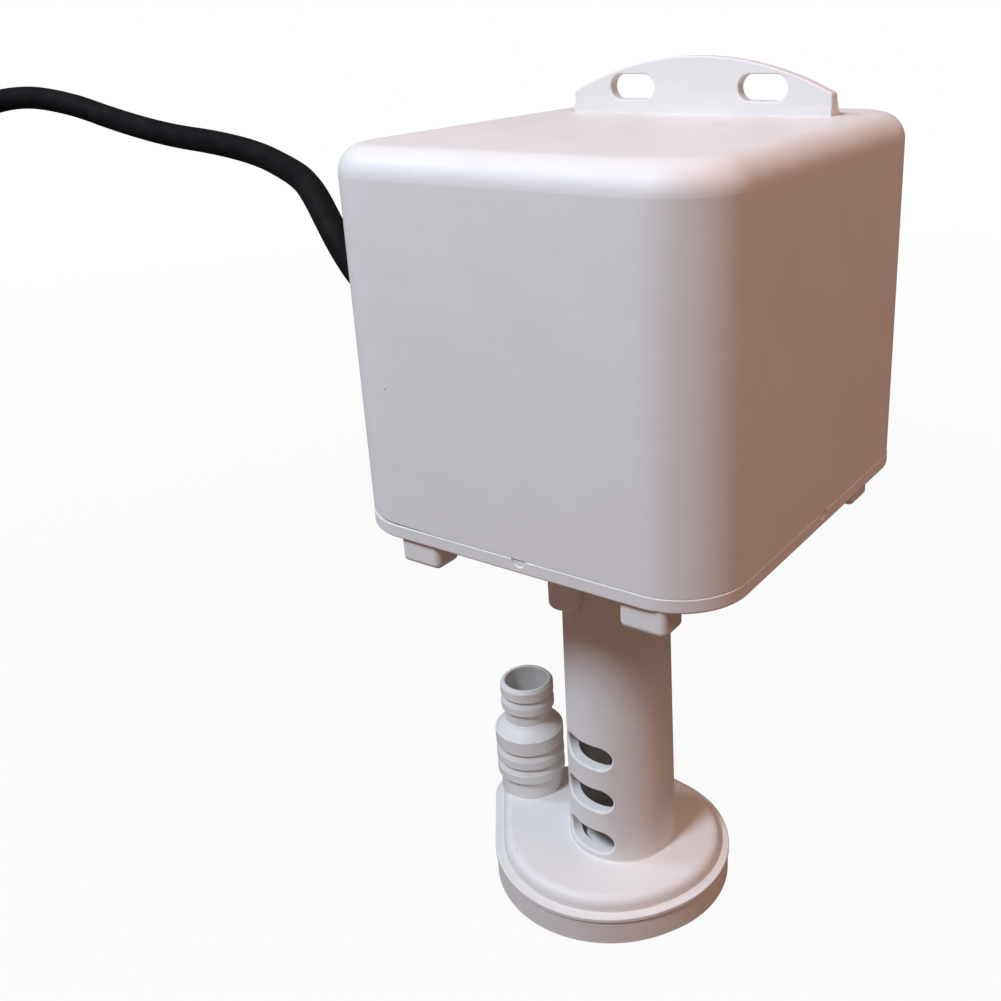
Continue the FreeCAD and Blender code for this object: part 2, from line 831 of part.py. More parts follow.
# Stator and coil
def stator_core():
    block = box(-core_half_width, core_half_width, -core_front, bridge_front, core_bottom, core_top)
    edges = [edge for edge in upright_edges(block) if edge.BoundBox.YMin < 0]
    block = block.makeFillet(core_corner, edges)
    tools = [rod(stator_bore_radius, core_bottom - 1, core_top + 1),
             box(-window_half_width, window_half_width, window_front, bridge_front + 1,
                 core_bottom - 1, core_top + 1),
             rod(screw_radius + thread_clearance, core_top - earth_screw_depth, core_top + 1,
                 earth_x, earth_y)]
    slot = shading_wire / 2 + shading_clearance
    for side in (-1, 1):
        tools.append(rod(screw_radius + screw_clearance, core_bottom - 1, core_top + 1,
                         side * bracket_screw_x))
        x = side * shading_x
        tools.append(box(x - slot, x + slot, shading_y - slot, shading_y + slot,
                         core_bottom - 1, core_top + 1))
    return cut_all(block, tools)


def stator_bridge():
    block = box(-core_half_width, core_half_width, bridge_front, bridge_back, core_bottom, core_top)
    edges = [edge for edge in upright_edges(block) if edge.BoundBox.YMin > bridge_mid_y]
    return block.makeFillet(core_corner, edges)


def shading_rings():
    half = shading_wire / 2
    near = shading_y
    far = window_front + shading_clearance + half
    loops = []
    for side in (-1, 1):
        x = side * shading_x
        outer = box(x - half, x + half, near - half, far + half,
                    core_bottom - shading_clearance - shading_wire,
                    core_top + shading_clearance + shading_wire)
        inner = box(x - half, x + half, near + half, far - half,
                    core_bottom - shading_clearance, core_top + shading_clearance)
        loops.append(outer.cut(inner))
    return Part.makeCompound(loops)


def around_bridge(gap, half_length, corner=0.0):
    block = box(-half_length, half_length, bridge_front - gap, bridge_back + gap,
                core_bottom - gap, core_top + gap)
    if corner > 0:
        edges = [edge for edge in block.Edges if edge.BoundBox.XLength > half_length]
        block = block.makeFillet(corner, edges)
    return block


def coil_bobbin():
    half = window_half_width - bobbin_end_gap
    hole = bobbin_clearance
    tube = around_bridge(hole + bobbin_wall, half)
    blank = around_bridge(bobbin_reach, half, winding_corner)
    waist = around_bridge(bobbin_reach + 1, half - bobbin_flange)
    return fused(tube, [blank.cut(waist)]).cut(around_bridge(hole, half + 1))


def coil_winding():
    half = window_half_width - bobbin_end_gap - bobbin_flange
    return around_bridge(winding_reach, half, winding_corner).cut(
        around_bridge(bobbin_clearance + bobbin_wall, half + 1))


def winding_tape():
    half = window_half_width - bobbin_end_gap - bobbin_flange - tape_margin
    return around_bridge(winding_reach + tape_thick, half, winding_corner + tape_thick).cut(
        around_bridge(winding_reach, half + 1, winding_corner))


def terminal_places():
    x = -(window_half_width - bobbin_end_gap + terminal_thick / 2)
    return [(x, bridge_mid_y - terminal_spacing / 2), (x, bridge_mid_y + terminal_spacing / 2)]


def terminal_top():
    return core_top + terminal_height


def coil_terminals():
    tabs = []
    for x, y in terminal_places():
        tabs.append(box(x - terminal_thick / 2, x + terminal_thick / 2, y - terminal_width / 2,
                        y + terminal_width / 2, core_top + bobbin_wall + bobbin_clearance, terminal_top()))
    return Part.makeCompound(tabs)


def thermal_cutout():
    bottom = core_top + winding_reach + tape_thick
    block = box(-cutout_length / 2, cutout_length / 2, bridge_mid_y - cutout_depth / 2,
                bridge_mid_y + cutout_depth / 2, bottom, bottom + cutout_height)
    return block.makeFillet(1.0, upright_edges(block))


# Brackets, bushes and washers
def bracket_arm(z0):
    arm = box(-bracket_arm_half_length, bracket_arm_half_length, -bracket_arm_depth / 2,
              bracket_arm_depth / 2, z0, z0 + bracket_arm_thick)
    return arm.makeFillet(bracket_arm_depth / 2 - 0.5, upright_edges(arm))


def lower_bracket():
    foot = rod(foot_radius, plate_top, plate_top + foot_thick)
    bosses = [rod(foot_boss_radius, plate_top, plate_top + foot_thick + foot_boss_rise, x, y)
              for x, y in column_screw_places()]
    hub = rod(bracket_hub_radius, plate_top, lower_arm_top)
    arm = bracket_arm(lower_arm_top - bracket_arm_thick)
    posts = [rod(bracket_post_radius, lower_arm_top - bracket_arm_thick, core_bottom, side * bracket_screw_x)
             for side in (-1, 1)]
    shape = fused(foot, bosses + [hub, arm] + posts)
    tools = [rod(shaft_hole_radius, plate_top - 1, lower_arm_top + 1),
             rod(bush_radius, lower_bush_bottom, lower_arm_top + 1)]
    boss_top = plate_top + foot_thick + foot_boss_rise
    for x, y in column_screw_places():
        tools.append(rod(screw_radius + thread_clearance, plate_top - 1, boss_top + 1, x, y))
    for side in (-1, 1):
        tools.append(rod(screw_radius + thread_clearance, lower_arm_top - bracket_arm_thick - 1,
                         core_bottom + 1, side * bracket_screw_x))
    return cut_all(shape, tools)


def upper_bracket():
    arm = bracket_arm(upper_arm_bottom)
    posts = [rod(bracket_post_radius, core_top, upper_arm_bottom + 1, side * bracket_screw_x)
             for side in (-1, 1)]
    hub = rod(bracket_hub_radius, upper_bush_bottom, upper_bush_top)
    shape = fused(arm, posts + [hub])
    tools = [rod(bush_radius, upper_bush_bottom - 1, upper_bush_top + 1)]
    for side in (-1, 1):
        tools.append(rod(screw_radius + screw_clearance, core_top - 1,
                         upper_arm_bottom + bracket_arm_thick + 1, side * bracket_screw_x))
    return cut_all(shape, tools)


def bush(z0):
    blank = rod(bush_radius - bush_fit, z0, z0 + bush_height)
    blank = blank.makeChamfer(bush_chamfer, edges_at_height(blank, z0 + bush_height))
    return blank.cut(rod(shaft_radius + shaft_clearance, z0 - 1, z0 + bush_height + 1))


def bush_retainers():
    inner = bush_radius - bush_chamfer - retainer_overlap
    lower = ring(bracket_hub_radius, washer_radius + retainer_overlap,
                 lower_arm_top, lower_arm_top + retainer_thick)
    upper = ring(bracket_hub_radius, inner, upper_bush_top, upper_bush_top + retainer_thick)
    return Part.makeCompound([lower, upper])


def thrust_washers():
    bore = shaft_radius + washer_clearance
    low = ring(washer_radius, bore, lower_bush_top, washer_low_top)
    high = ring(washer_radius, bore, washer_high_bottom, upper_bush_bottom)
    return Part.makeCompound([low, high])


# Screws
def screw_up(x, y, head_bottom, head_radius, head_height, radius, tip):
    head = rod(head_radius, head_bottom, head_bottom + head_height, x, y)
    drive = rod(head_radius * 0.42, head_bottom - 1, head_bottom + head_height * 0.55, x, y)
    return head.cut(drive).fuse(rod(radius, head_bottom + head_height, tip, x, y)).removeSplitter()


def screw_down(x, y, seat, head_radius, head_height, radius, tip):
    head = rod(head_radius, seat, seat + head_height, x, y)
    drive = rod(head_radius * 0.42, seat + head_height * 0.45, seat + head_height + 1, x, y)
    return head.cut(drive).fuse(rod(radius, tip, seat, x, y)).removeSplitter()


def volute_screws():
    screws = []
    for x, y in volute_screw_places():
        screws.append(screw_up(x, y, small_head_recess, small_head_radius, small_head_height,
                               small_screw_radius, small_screw_reach))
    return Part.makeCompound(screws)


def column_screws():
    bottom = plate_bottom - boss_length + head_recess
    tip = plate_top + foot_thick + foot_boss_rise
    screws = []
    for x, y in column_screw_places():
        screws.append(screw_up(x, y, bottom, screw_head_radius, screw_head_height, screw_radius, tip))
    return Part.makeCompound(screws)


def frame_screws():
    seat = upper_arm_bottom + bracket_arm_thick
    tip = lower_arm_top - bracket_arm_thick
    screws = []
    for side in (-1, 1):
        screws.append(screw_down(side * bracket_screw_x, 0.0, seat, screw_head_radius,
                                 screw_head_height, screw_radius, tip))
    return Part.makeCompound(screws)


def earth_screw():
    seat = core_top + lug_ring_thick
    return screw_down(earth_x, earth_y, seat, screw_head_radius, screw_head_height, screw_radius,
                      core_top - earth_screw_depth)


def earth_barrel_end():
    x = earth_x - lug_ring_radius - lug_length
    return x, core_top + lug_ring_thick + barrel_radius / 2 + 0.3


def earth_terminal():
    eye = ring(lug_ring_radius, screw_radius + screw_clearance, core_top, core_top + lug_ring_thick,
               earth_x, earth_y)
    x, z = earth_barrel_end()
    tab = box(x + barrel_length / 2, earth_x - lug_ring_radius + 0.8, earth_y - lug_width / 2,
              earth_y + lug_width / 2, core_top, core_top + lug_ring_thick)
    barrel = rod_x(barrel_radius, x, x + barrel_length, earth_y, z)
    return fused(eye, [tab, barrel])


# Cord: straight runs joined by tangent arcs
def rounded_route(points):
    corners = [Vector(*point) for point in points]
    runs = [corners[i + 1] - corners[i] for i in range(len(corners) - 1)]
    edges = []
    radii = []
    start = corners[0]
    for i in range(1, len(corners) - 1):
        before = Vector(runs[i - 1]).normalize()
        after = Vector(runs[i]).normalize()
        half_turn = before.getAngle(after) / 2
        shorter = min(runs[i - 1].Length, runs[i].Length)
        setback = 0.45 * shorter
        radii.append(setback / math.tan(half_turn))
        arc_start = corners[i] - before * setback
        arc_end = corners[i] + after * setback
        centre_way = (after - before).normalize()
        middle = corners[i] + centre_way * (radii[-1] / math.cos(half_turn) - radii[-1])
        edges.append(Part.LineSegment(start, arc_start).toShape())
        edges.append(Part.Arc(arc_start, middle, arc_end).toShape())
        start = arc_end
    edges.append(Part.LineSegment(start, corners[-1]).toShape())
    return Part.Wire(edges), radii


def tube(points, radius):
    path, radii = rounded_route(points)
    way = Vector(*points[1]) - Vector(*points[0])
    section = Part.Wire([Part.makeCircle(radius, Vector(*points[0]), way)])
    shape = path.makePipeShell([section], True, False)
    share = shape.Volume / (math.pi * radius * radius * path.Length)
    print("route length", round(path.Length, 1), "volume share", round(share, 4),
          "smallest radii", [round(value, 1) for value in sorted(radii)[:6]])
    return shape


def strain_relief():
    wall = -half_width
    profile = [(0.0, wall + cover_wall + grip_thick), (relief_neck_radius, wall + cover_wall + grip_thick),
               (relief_neck_radius, wall), (relief_collar_radius, wall),
               (relief_collar_radius, wall - relief_collar), (relief_root_radius, wall - relief_collar),
               (relief_tip_radius, relief_tip_x), (0.0, relief_tip_x)]
    points = [Vector(x, cord_exit_y + radius, cord_exit_z) for radius, x in profile]
    points.append(points[0])
    face = Part.Face(Part.makePolygon(points))
    return face.revolve(Vector(0, cord_exit_y, cord_exit_z), Vector(1, 0, 0), 360)


def cord_grip():
    inner = -half_width + cover_wall
    nut = rod_x(grip_radius, inner, inner + grip_thick, cord_exit_y, cord_exit_z)
    return nut.cut(rod_x(relief_neck_radius, inner - 1, inner + grip_thick + 1, cord_exit_y, cord_exit_z))


def wire_start(dy, dz):
    return (-half_width + cover_wall + grip_thick, cord_exit_y + dy, cord_exit_z + dz)


def wire_loop(x, y_start, y_end, z):
    centre = x - wire_loop_radius
    half = math.pi / wire_loop_corners / 2
    reach = wire_loop_radius / math.cos(half)
    corners = []
    for i in range(wire_loop_corners):
        turn = half * (2 * i + 1)
        y = y_start + (y_end - y_start) * i / (wire_loop_corners - 1)
        corners.append((centre - reach * math.cos(turn), y, z + wire_loop_rise + reach * math.sin(turn)))
    return corners


def offsets(start, steps):
    return [(start[0] + dx, start[1] + dy, start[2] + dz) for dx, dy, dz in steps]


def lead_wire_live():
    x, y = terminal_places()[0]
    z = terminal_top()
    start = wire_start(-wire_spread / 2, wire_spread)
    rise = offsets(start, [(0, 0, 0), (2.7, 0, 0), (5.1, 0.2, 1.1), (7.0, 0.5, 3.0), (8.0, 0.9, 5.6)])
    lane = -core_half_width - wire_lane_gap
    climb = [(lane - 0.9, start[1] + 1.8, core_bottom + 2.5), (lane - 1.2, start[1] + 3.2, core_bottom + 9),
             (lane - 1.1, y - 4.4, core_bottom + 18), (lane - 0.4, y - 3.2, z - 4)]
    return tube(rise + climb + wire_loop(x, y - 2.5, y, z) + [(x, y, z)], wire_radius)


def lead_wire_neutral():
    x, y = terminal_places()[1]
    z = terminal_top()
    start = wire_start(wire_spread, 0.0)
    rise = offsets(start, [(0, 0, 0), (3.0, 0, 0), (5.8, 1.1, 0.4), (7.9, 3.0, 1.4), (9.0, 5.4, 3.1),
                           (9.3, 8.6, 5.8)])
    lane = -core_half_width - wire_lane_gap
    climb = [(lane + 0.1, y - 9.2, core_bottom), (lane - 0.1, y - 5.4, core_bottom + 6),
             (lane - 0.3, y - 2.0, core_bottom + 14), (lane - 0.3, y + 0.3, z - 9)]
    return tube(rise + climb + wire_loop(x, y + 1.2, y, z) + [(x, y, z)], wire_radius)


def lead_wire_earth():
    x, z = earth_barrel_end()
    start = wire_start(-wire_spread / 2, -wire_spread)
    leave = offsets(start, [(0, 0, 0), (2.7, 0, 0), (5.1, -1.1, 0.1), (6.9, -3.0, 0.4), (7.8, -5.6, 1.2),
                            (7.6, -9.5, 2.8), (6.6, -14.5, 6.0), (5.0, -20.0, 11.0), (3.4, -25.5, 17.0),
                            (2.4, -31.0, 23.5)])
    arrive = offsets((x, earth_y, z), [(-14.2, 7.6, -6.5), (-12.6, 3.4, -3.0), (-9.4, 0.9, -0.9),
                                       (-5.0, 0.1, -0.05), (0, 0, 0)])
    return tube(leave + arrive, wire_radius)


def cord_lead():
    points = offsets((relief_tip_x, cord_exit_y, cord_exit_z), cord_leaving)
    return tube(points + offsets((coil_x, coil_y, 0), cord_arriving), cord_radius)


def coil_section():
    half = coil_columns * cord_radius
    return coil_mean_radius - half, coil_mean_radius + half


def cord_coil():
    inner, outer = coil_section()
    shape = ring(outer, inner, tie_thick, tie_thick + coil_height, coil_x, coil_y)
    edges = edges_at_height(shape, tie_thick) + edges_at_height(shape, tie_thick + coil_height)
    return shape.makeFillet(cord_radius * 0.8, edges)


def cord_tie():
    inner, outer = coil_section()
    band = box(coil_x + inner - tie_thick, coil_x + outer + tie_thick, coil_y - tie_width / 2,
               coil_y + tie_width / 2, 0.0, 2 * tie_thick + coil_height)
    hollow = box(coil_x + inner - 0.2, coil_x + outer + 0.2, coil_y - tie_width, coil_y + tie_width,
                 tie_thick, tie_thick + coil_height)
    tie = band.cut(hollow)
    tie.rotate(Vector(coil_x, coil_y, 0), Vector(0, 0, 1), tie_angle)
    return tie


def connector_axis():
    return coil_x - coil_section()[1] + cord_radius


def connector_root():
    return coil_y + tail_start + tail_length


def cord_tail():
    x = connector_axis()
    y = connector_root()
    z = connector_height / 2
    return tube([(x, y - tail_length, z + tail_drop), (x, y - 0.65 * tail_length, z + 0.4 * tail_drop),
                 (x, y - 0.3 * tail_length, z), (x, y, z)], cord_radius)


def connector_boot():
    return Part.makeCone(cord_radius + boot_root_wall, cord_radius + boot_tip_wall, boot_length,
                         Vector(connector_axis(), connector_root(), connector_height / 2), Vector(0, 1, 0))


def connector_body():
    x = connector_axis()
    y0 = connector_root() + boot_length
    y1 = y0 + connector_length
    block = box(x - connector_width / 2, x + connector_width / 2, y0, y1, 0.0, connector_height)
    edges = [edge for edge in block.Edges if edge.BoundBox.YLength > connector_length / 2]
    block = block.makeFillet(connector_corner, edges)
    socket = box(x - connector_width / 2 + connector_wall, x + connector_width / 2 - connector_wall,
                 y1 - connector_socket_depth, y1 + 1, connector_wall, connector_height - connector_wall)
    return block.cut(socket)


def connector_pins():
    x = connector_axis()
    root = connector_root() + boot_length + connector_length - connector_socket_depth
    pins = [Part.makeCylinder(pin_radius, pin_length, Vector(x + i * pin_pitch, root, pin_axis_height),
                              Vector(0, 1, 0)) for i in (-1, 0, 1)]
    return Part.makeCompound(pins)


def connector_latch():
    x = connector_axis()
    y0 = connector_root() + boot_length + latch_setback
    under = connector_height + latch_gap
    blade = box(x - latch_width / 2, x + latch_width / 2, y0, y0 + latch_length, under, under + latch_thick)
    root = box(x - latch_width / 2, x + latch_width / 2, y0, y0 + latch_root, connector_height, under)
    return blade.fuse(root).removeSplitter()


pieces = {
    "motor_cover": motor_cover,
    "base_plate": base_plate,
    "volute_cover": volute_cover,
    "volute_gasket": volute_gasket,
    "volute_screws": volute_screws,
    "pump_column": pump_column,
    "column_screws": column_screws,
    "shaft": shaft,
    "impeller": impeller,
    "slinger": slinger,
    "rotor_core": rotor_core,
    "rotor_cage": rotor_cage,
    "rotor_spacers": rotor_spacers,
    "cooling_fan": cooling_fan,
    "stator_core": stator_core,
    "stator_bridge": stator_bridge,
    "shading_rings": shading_rings,
    "coil_bobbin": coil_bobbin,
    "coil_winding": coil_winding,
    "winding_tape": winding_tape,
    "coil_terminals": coil_terminals,
    "thermal_cutout": thermal_cutout,
    "lower_bracket": lower_bracket,
    "upper_bracket": upper_bracket,
    "bush_retainers": bush_retainers,
    "thrust_washers": thrust_washers,
    "frame_screws": frame_screws,
    "earth_screw": earth_screw,
    "earth_terminal": earth_terminal,
    "strain_relief": strain_relief,
    "cord_grip": cord_grip,
    "lead_wire_live": lead_wire_live,
    "lead_wire_neutral": lead_wire_neutral,
    "lead_wire_earth": lead_wire_earth,
    "cord_lead": cord_lead,
    "cord_coil": cord_coil,
    "cord_tie": cord_tie,
    "cord_tail": cord_tail,
    "connector_boot": connector_boot,
    "connector_body": connector_body,
    "connector_pins": connector_pins,
    "connector_latch": connector_latch,
}

for name, make in pieces.items():
    save(name, make())
save("lower_bush", bush(lower_bush_bottom))
save("upper_bush", bush(upper_bush_bottom))
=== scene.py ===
"""Looks of an upright sump pump for an ice maker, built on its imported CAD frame."""

import logging
import math
from collections.abc import Sequence
from dataclasses import dataclass, field
from enum import Enum

import bmesh
import bpy
from mathutils import Matrix, Vector


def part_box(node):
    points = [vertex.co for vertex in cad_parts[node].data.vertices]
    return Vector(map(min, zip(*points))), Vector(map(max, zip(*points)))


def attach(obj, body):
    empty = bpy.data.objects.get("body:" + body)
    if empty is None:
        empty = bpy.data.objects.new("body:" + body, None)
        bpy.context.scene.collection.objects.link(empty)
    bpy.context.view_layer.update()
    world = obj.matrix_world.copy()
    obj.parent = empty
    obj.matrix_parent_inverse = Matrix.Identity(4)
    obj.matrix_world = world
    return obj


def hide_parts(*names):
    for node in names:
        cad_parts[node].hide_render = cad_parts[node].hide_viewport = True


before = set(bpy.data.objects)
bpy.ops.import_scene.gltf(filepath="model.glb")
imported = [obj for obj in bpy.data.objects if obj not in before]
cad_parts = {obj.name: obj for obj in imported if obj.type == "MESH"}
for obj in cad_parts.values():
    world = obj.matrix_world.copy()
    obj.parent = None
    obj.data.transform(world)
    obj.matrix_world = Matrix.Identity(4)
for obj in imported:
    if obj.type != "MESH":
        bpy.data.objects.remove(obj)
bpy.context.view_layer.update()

MM = 0.001
SAME_PLACE = 1e-6
# edges that turn by more than the first are bevelled, and those under the second are shaded smooth
BEVELLED_TURN = math.radians(30)
SMOOTHED_TURN = math.radians(38)
LOG = logging.getLogger("ice_maker_pump")


class Body(Enum):
    """The rigid bodies of the frame."""

    HOUSING = "housing"
    ROTOR = "rotor"


class Slot(Enum):
    """The record's finishes, listed for the new pieces."""

    CORD = "cord_black"
    CONNECTOR = "connector_plastic"
    TIE = "tie_plastic"


def linear(shade: str) -> tuple[float, float, float, float]:
    """Turns an sRGB hex colour to linear light.

    Args:
        shade: Six hex digits.

    Returns:
        Linear red, green, blue and an alpha of 1.
    """
    values = [int(shade[i:i + 2], 16) / 255 for i in (0, 2, 4)]
    light = [v / 12.92 if v <= 0.04045 else ((v + 0.055) / 1.055) ** 2.4 for v in values]
    return light[0], light[1], light[2], 1.0


def per_mm(size: float) -> float:
    """Gives the texture scale, in cycles per metre, of a pattern.

    Args:
        size: Size of one feature in millimetres.

    Returns:
        The scale for Object coordinates in metres.
    """
    return 1 / (size * MM)


def add_node(tree: bpy.types.NodeTree, kind: str, inputs: dict | None = None, **settings) -> bpy.types.Node:
    """Adds one shader node with its settings and links.

    Args:
        tree: Node tree of the material or world.
        kind: Node type without its ShaderNode prefix.
        inputs: Value or source socket for each input, by name or index.
        **settings: The node's own properties.

    Returns:
        The new node.
    """
    node = tree.nodes.new("ShaderNode" + kind)
    for name, value in settings.items():
        setattr(node, name, value)
    for socket, value in (inputs or {}).items():
        if isinstance(value, bpy.types.NodeSocket):
            tree.links.new(value, node.inputs[socket])
        else:
            node.inputs[socket].default_value = value
    return node


def empty_tree(owner: bpy.types.Material | bpy.types.World) -> bpy.types.NodeTree:
    """Turns on the nodes of a material or world and clears them.

    Args:
        owner: The material or world.

    Returns:
        Its empty node tree.
    """
    owner.use_nodes = True
    owner.node_tree.nodes.clear()
    return owner.node_tree


def add_object(name: str, data: bpy.types.ID) -> bpy.types.Object:
    """Makes an object and links it to the scene.

    Args:
        name: Name of the object.
        data: Its mesh, curve, camera or light.

    Returns:
        The new object.
    """
    made = bpy.data.objects.new(name, data)
    bpy.context.scene.collection.objects.link(made)
    return made


@dataclass(frozen=True)
class Finish:
    """A material made from nodes; its subclasses say how it looks."""

    name: str

    def dress(self, tree: bpy.types.NodeTree, shader: bpy.types.Node) -> None:
        """Adds the nodes that feed the shader.

        Args:
            tree: The material's node tree.
            shader: Its Principled BSDF.
        """
        raise NotImplementedError

    def material(self) -> bpy.types.Material:
        """Gives the material, made on its first use.

        Returns:
            The Blender material of this finish.
        """
        found = bpy.data.materials.get(self.name)
        if found:
            return found
        made = bpy.data.materials.new(self.name)
        tree = empty_tree(made)
        shader = add_node(tree, "BsdfPrincipled")
        add_node(tree, "OutputMaterial", {"Surface": shader.outputs[0]})
        self.dress(tree, shader)
        return made


@dataclass(frozen=True)
class MouldedPlastic(Finish):
    """Injection-moulded plastic: soft mottling in the colour and the fine skin of a spark-eroded mould."""

    shade: str = "E6E3DE"
    deep: str = "DDD9D3"
    roughness: float = 0.4
    ior: float = 1.53
    gloss_spread: float = 0.05
    mottle_mm: float = 14.0
    grain_mm: float = 0.9
    grain_height_mm: float = 0.012

    def colour(self, tree: bpy.types.NodeTree, place: bpy.types.NodeSocket) -> bpy.types.NodeSocket:
        """Mottles the colour between its two shades.

        Args:
            tree: The material's node tree.
            place: Object coordinates.

        Returns:
            The colour socket.
        """
        cloud = add_node(tree, "TexNoise", {"Vector": place, "Scale": per_mm(self.mottle_mm), "Detail": 4.0})
        mixed = add_node(tree, "Mix", {0: cloud.outputs[0], 6: linear(self.deep), 7: linear(self.shade)},
                         data_type="RGBA")
        return mixed.outputs[2]

    def dress(self, tree: bpy.types.NodeTree, shader: bpy.types.Node) -> None:
        """Adds mottled colour, uneven gloss and mould grain.

        Args:
            tree: The material's node tree.
            shader: Its Principled BSDF.
        """
        place = add_node(tree, "TexCoord").outputs["Object"]
        tree.links.new(self.colour(tree, place), shader.inputs["Base Color"])
        # the grain is drawn coarser than the real skin, which is too fine for the render
        grain = add_node(tree, "TexNoise", {"Vector": place, "Scale": per_mm(self.grain_mm), "Detail": 2.0})
        gloss = add_node(tree, "MapRange", {"Value": grain.outputs[0],
                                            "To Min": self.roughness - self.gloss_spread,
                                            "To Max": self.roughness + self.gloss_spread})
        bump = add_node(tree, "Bump", {"Height": grain.outputs[0], "Strength": 0.6,
                                       "Distance": self.grain_height_mm * MM})
        tree.links.new(gloss.outputs[0], shader.inputs["Roughness"])
        tree.links.new(bump.outputs[0], shader.inputs["Normal"])
        shader.inputs["IOR"].default_value = self.ior


@dataclass(frozen=True)
class HandledPlastic(MouldedPlastic):
    """White ABS that has been handled: specks of dirt in its skin and faint flow lines."""

    speck_shade: str = "5E564E"
    speck_strength: float = 0.6
    speck_spacing_mm: float = 13.0
    largest_speck_mm: float = 0.3
    flow_shade: str = "C9C4BC"
    flow_strength: float = 0.06
    flow_mm: float = 2.2
    flow_stretch: float = 14.0

    def colour(self, tree: bpy.types.NodeTree, place: bpy.types.NodeSocket) -> bpy.types.NodeSocket:
        """Mottles the colour, then lays flow lines and specks on it.

        Args:
            tree: The material's node tree.
            place: Object coordinates.

        Returns:
            The colour socket.
        """
        base = super().colour(tree, place)
        lying = add_node(tree, "Mapping", {"Vector": place, "Scale": (1 / self.flow_stretch, 1.0, 1.0)})
        flow = add_node(tree, "TexNoise", {"Vector": lying.outputs[0], "Scale": per_mm(self.flow_mm),
                                           "Detail": 3.0})
        faint = add_node(tree, "MapRange", {"Value": flow.outputs[0], "From Min": 0.35, "From Max": 0.75,
                                            "To Min": 0.0, "To Max": self.flow_strength})
        streaked = add_node(tree, "Mix", {0: faint.outputs[0], 6: base, 7: linear(self.flow_shade)},
                            data_type="RGBA")
        cells = add_node(tree, "TexVoronoi", {"Vector": place, "Scale": per_mm(self.speck_spacing_mm)})
        sizes = add_node(tree, "SeparateColor", {"Color": cells.outputs["Color"]})
        # distances are counted in cells here, so a speck's radius is a share of their spacing
        largest = self.largest_speck_mm / self.speck_spacing_mm
        radius = add_node(tree, "Math", {0: sizes.outputs[0], 1: largest}, operation="MULTIPLY")
        speck = add_node(tree, "Math", {0: cells.outputs["Distance"], 1: radius.outputs[0]},
                         operation="LESS_THAN")
        strength = add_node(tree, "Math", {0: speck.outputs[0], 1: self.speck_strength},
                            operation="MULTIPLY")
        specked = add_node(tree, "Mix", {0: strength.outputs[0], 6: streaked.outputs[2],
                                         7: linear(self.speck_shade)}, data_type="RGBA")
        return specked.outputs[2]


@dataclass(frozen=True)
class FlexibleJacket(Finish):
    """Soft PVC or rubber, dyed through: an uneven skin with a little dust.

    The fine matt skin scatters most of the sheen, so its specular level is far under the usual 0.5.
    """

    shade: str = "0E0E11"
    dust: str = "26251F"
    dust_mm: float = 9.0
    roughness: float = 0.72
    gloss_spread: float = 0.08
    ior: float = 1.53
    specular: float = 0.08
    grain_mm: float = 1.2
    grain_height_mm: float = 0.02

    def dress(self, tree: bpy.types.NodeTree, shader: bpy.types.Node) -> None:
        """Adds dust in the colour and an uneven skin.

        Args:
            tree: The material's node tree.
            shader: Its Principled BSDF.
        """
        place = add_node(tree, "TexCoord").outputs["Object"]
        cloud = add_node(tree, "TexNoise", {"Vector": place, "Scale": per_mm(self.dust_mm), "Detail": 6.0,
                                            "Roughness": 0.7})
        worn = add_node(tree, "MapRange", {"Value": cloud.outputs[0], "From Min": 0.45, "From Max": 0.8,
                                           "To Min": 0.0, "To Max": 0.6})
        mixed = add_node(tree, "Mix", {0: worn.outputs[0], 6: linear(self.shade), 7: linear(self.dust)},
                         data_type="RGBA")
        grain = add_node(tree, "TexNoise", {"Vector": place, "Scale": per_mm(self.grain_mm), "Detail": 3.0})
        gloss = add_node(tree, "MapRange", {"Value": grain.outputs[0],
                                            "To Min": self.roughness - self.gloss_spread,
                                            "To Max": self.roughness + self.gloss_spread})
        bump = add_node(tree, "Bump", {"Height": grain.outputs[0], "Strength": 0.5,
                                       "Distance": self.grain_height_mm * MM})
        tree.links.new(mixed.outputs[2], shader.inputs["Base Color"])
        tree.links.new(gloss.outputs[0], shader.inputs["Roughness"])
        tree.links.new(bump.outputs[0], shader.inputs["Normal"])
        shader.inputs["IOR"].default_value = self.ior
        shader.inputs["Specular IOR Level"].default_value = self.specular


@dataclass(frozen=True)
class WireInsulation(FlexibleJacket):
    """Hard PVC round one core: smooth and glossier than the cord's jacket."""

    roughness: float = 0.35
    specular: float = 0.4


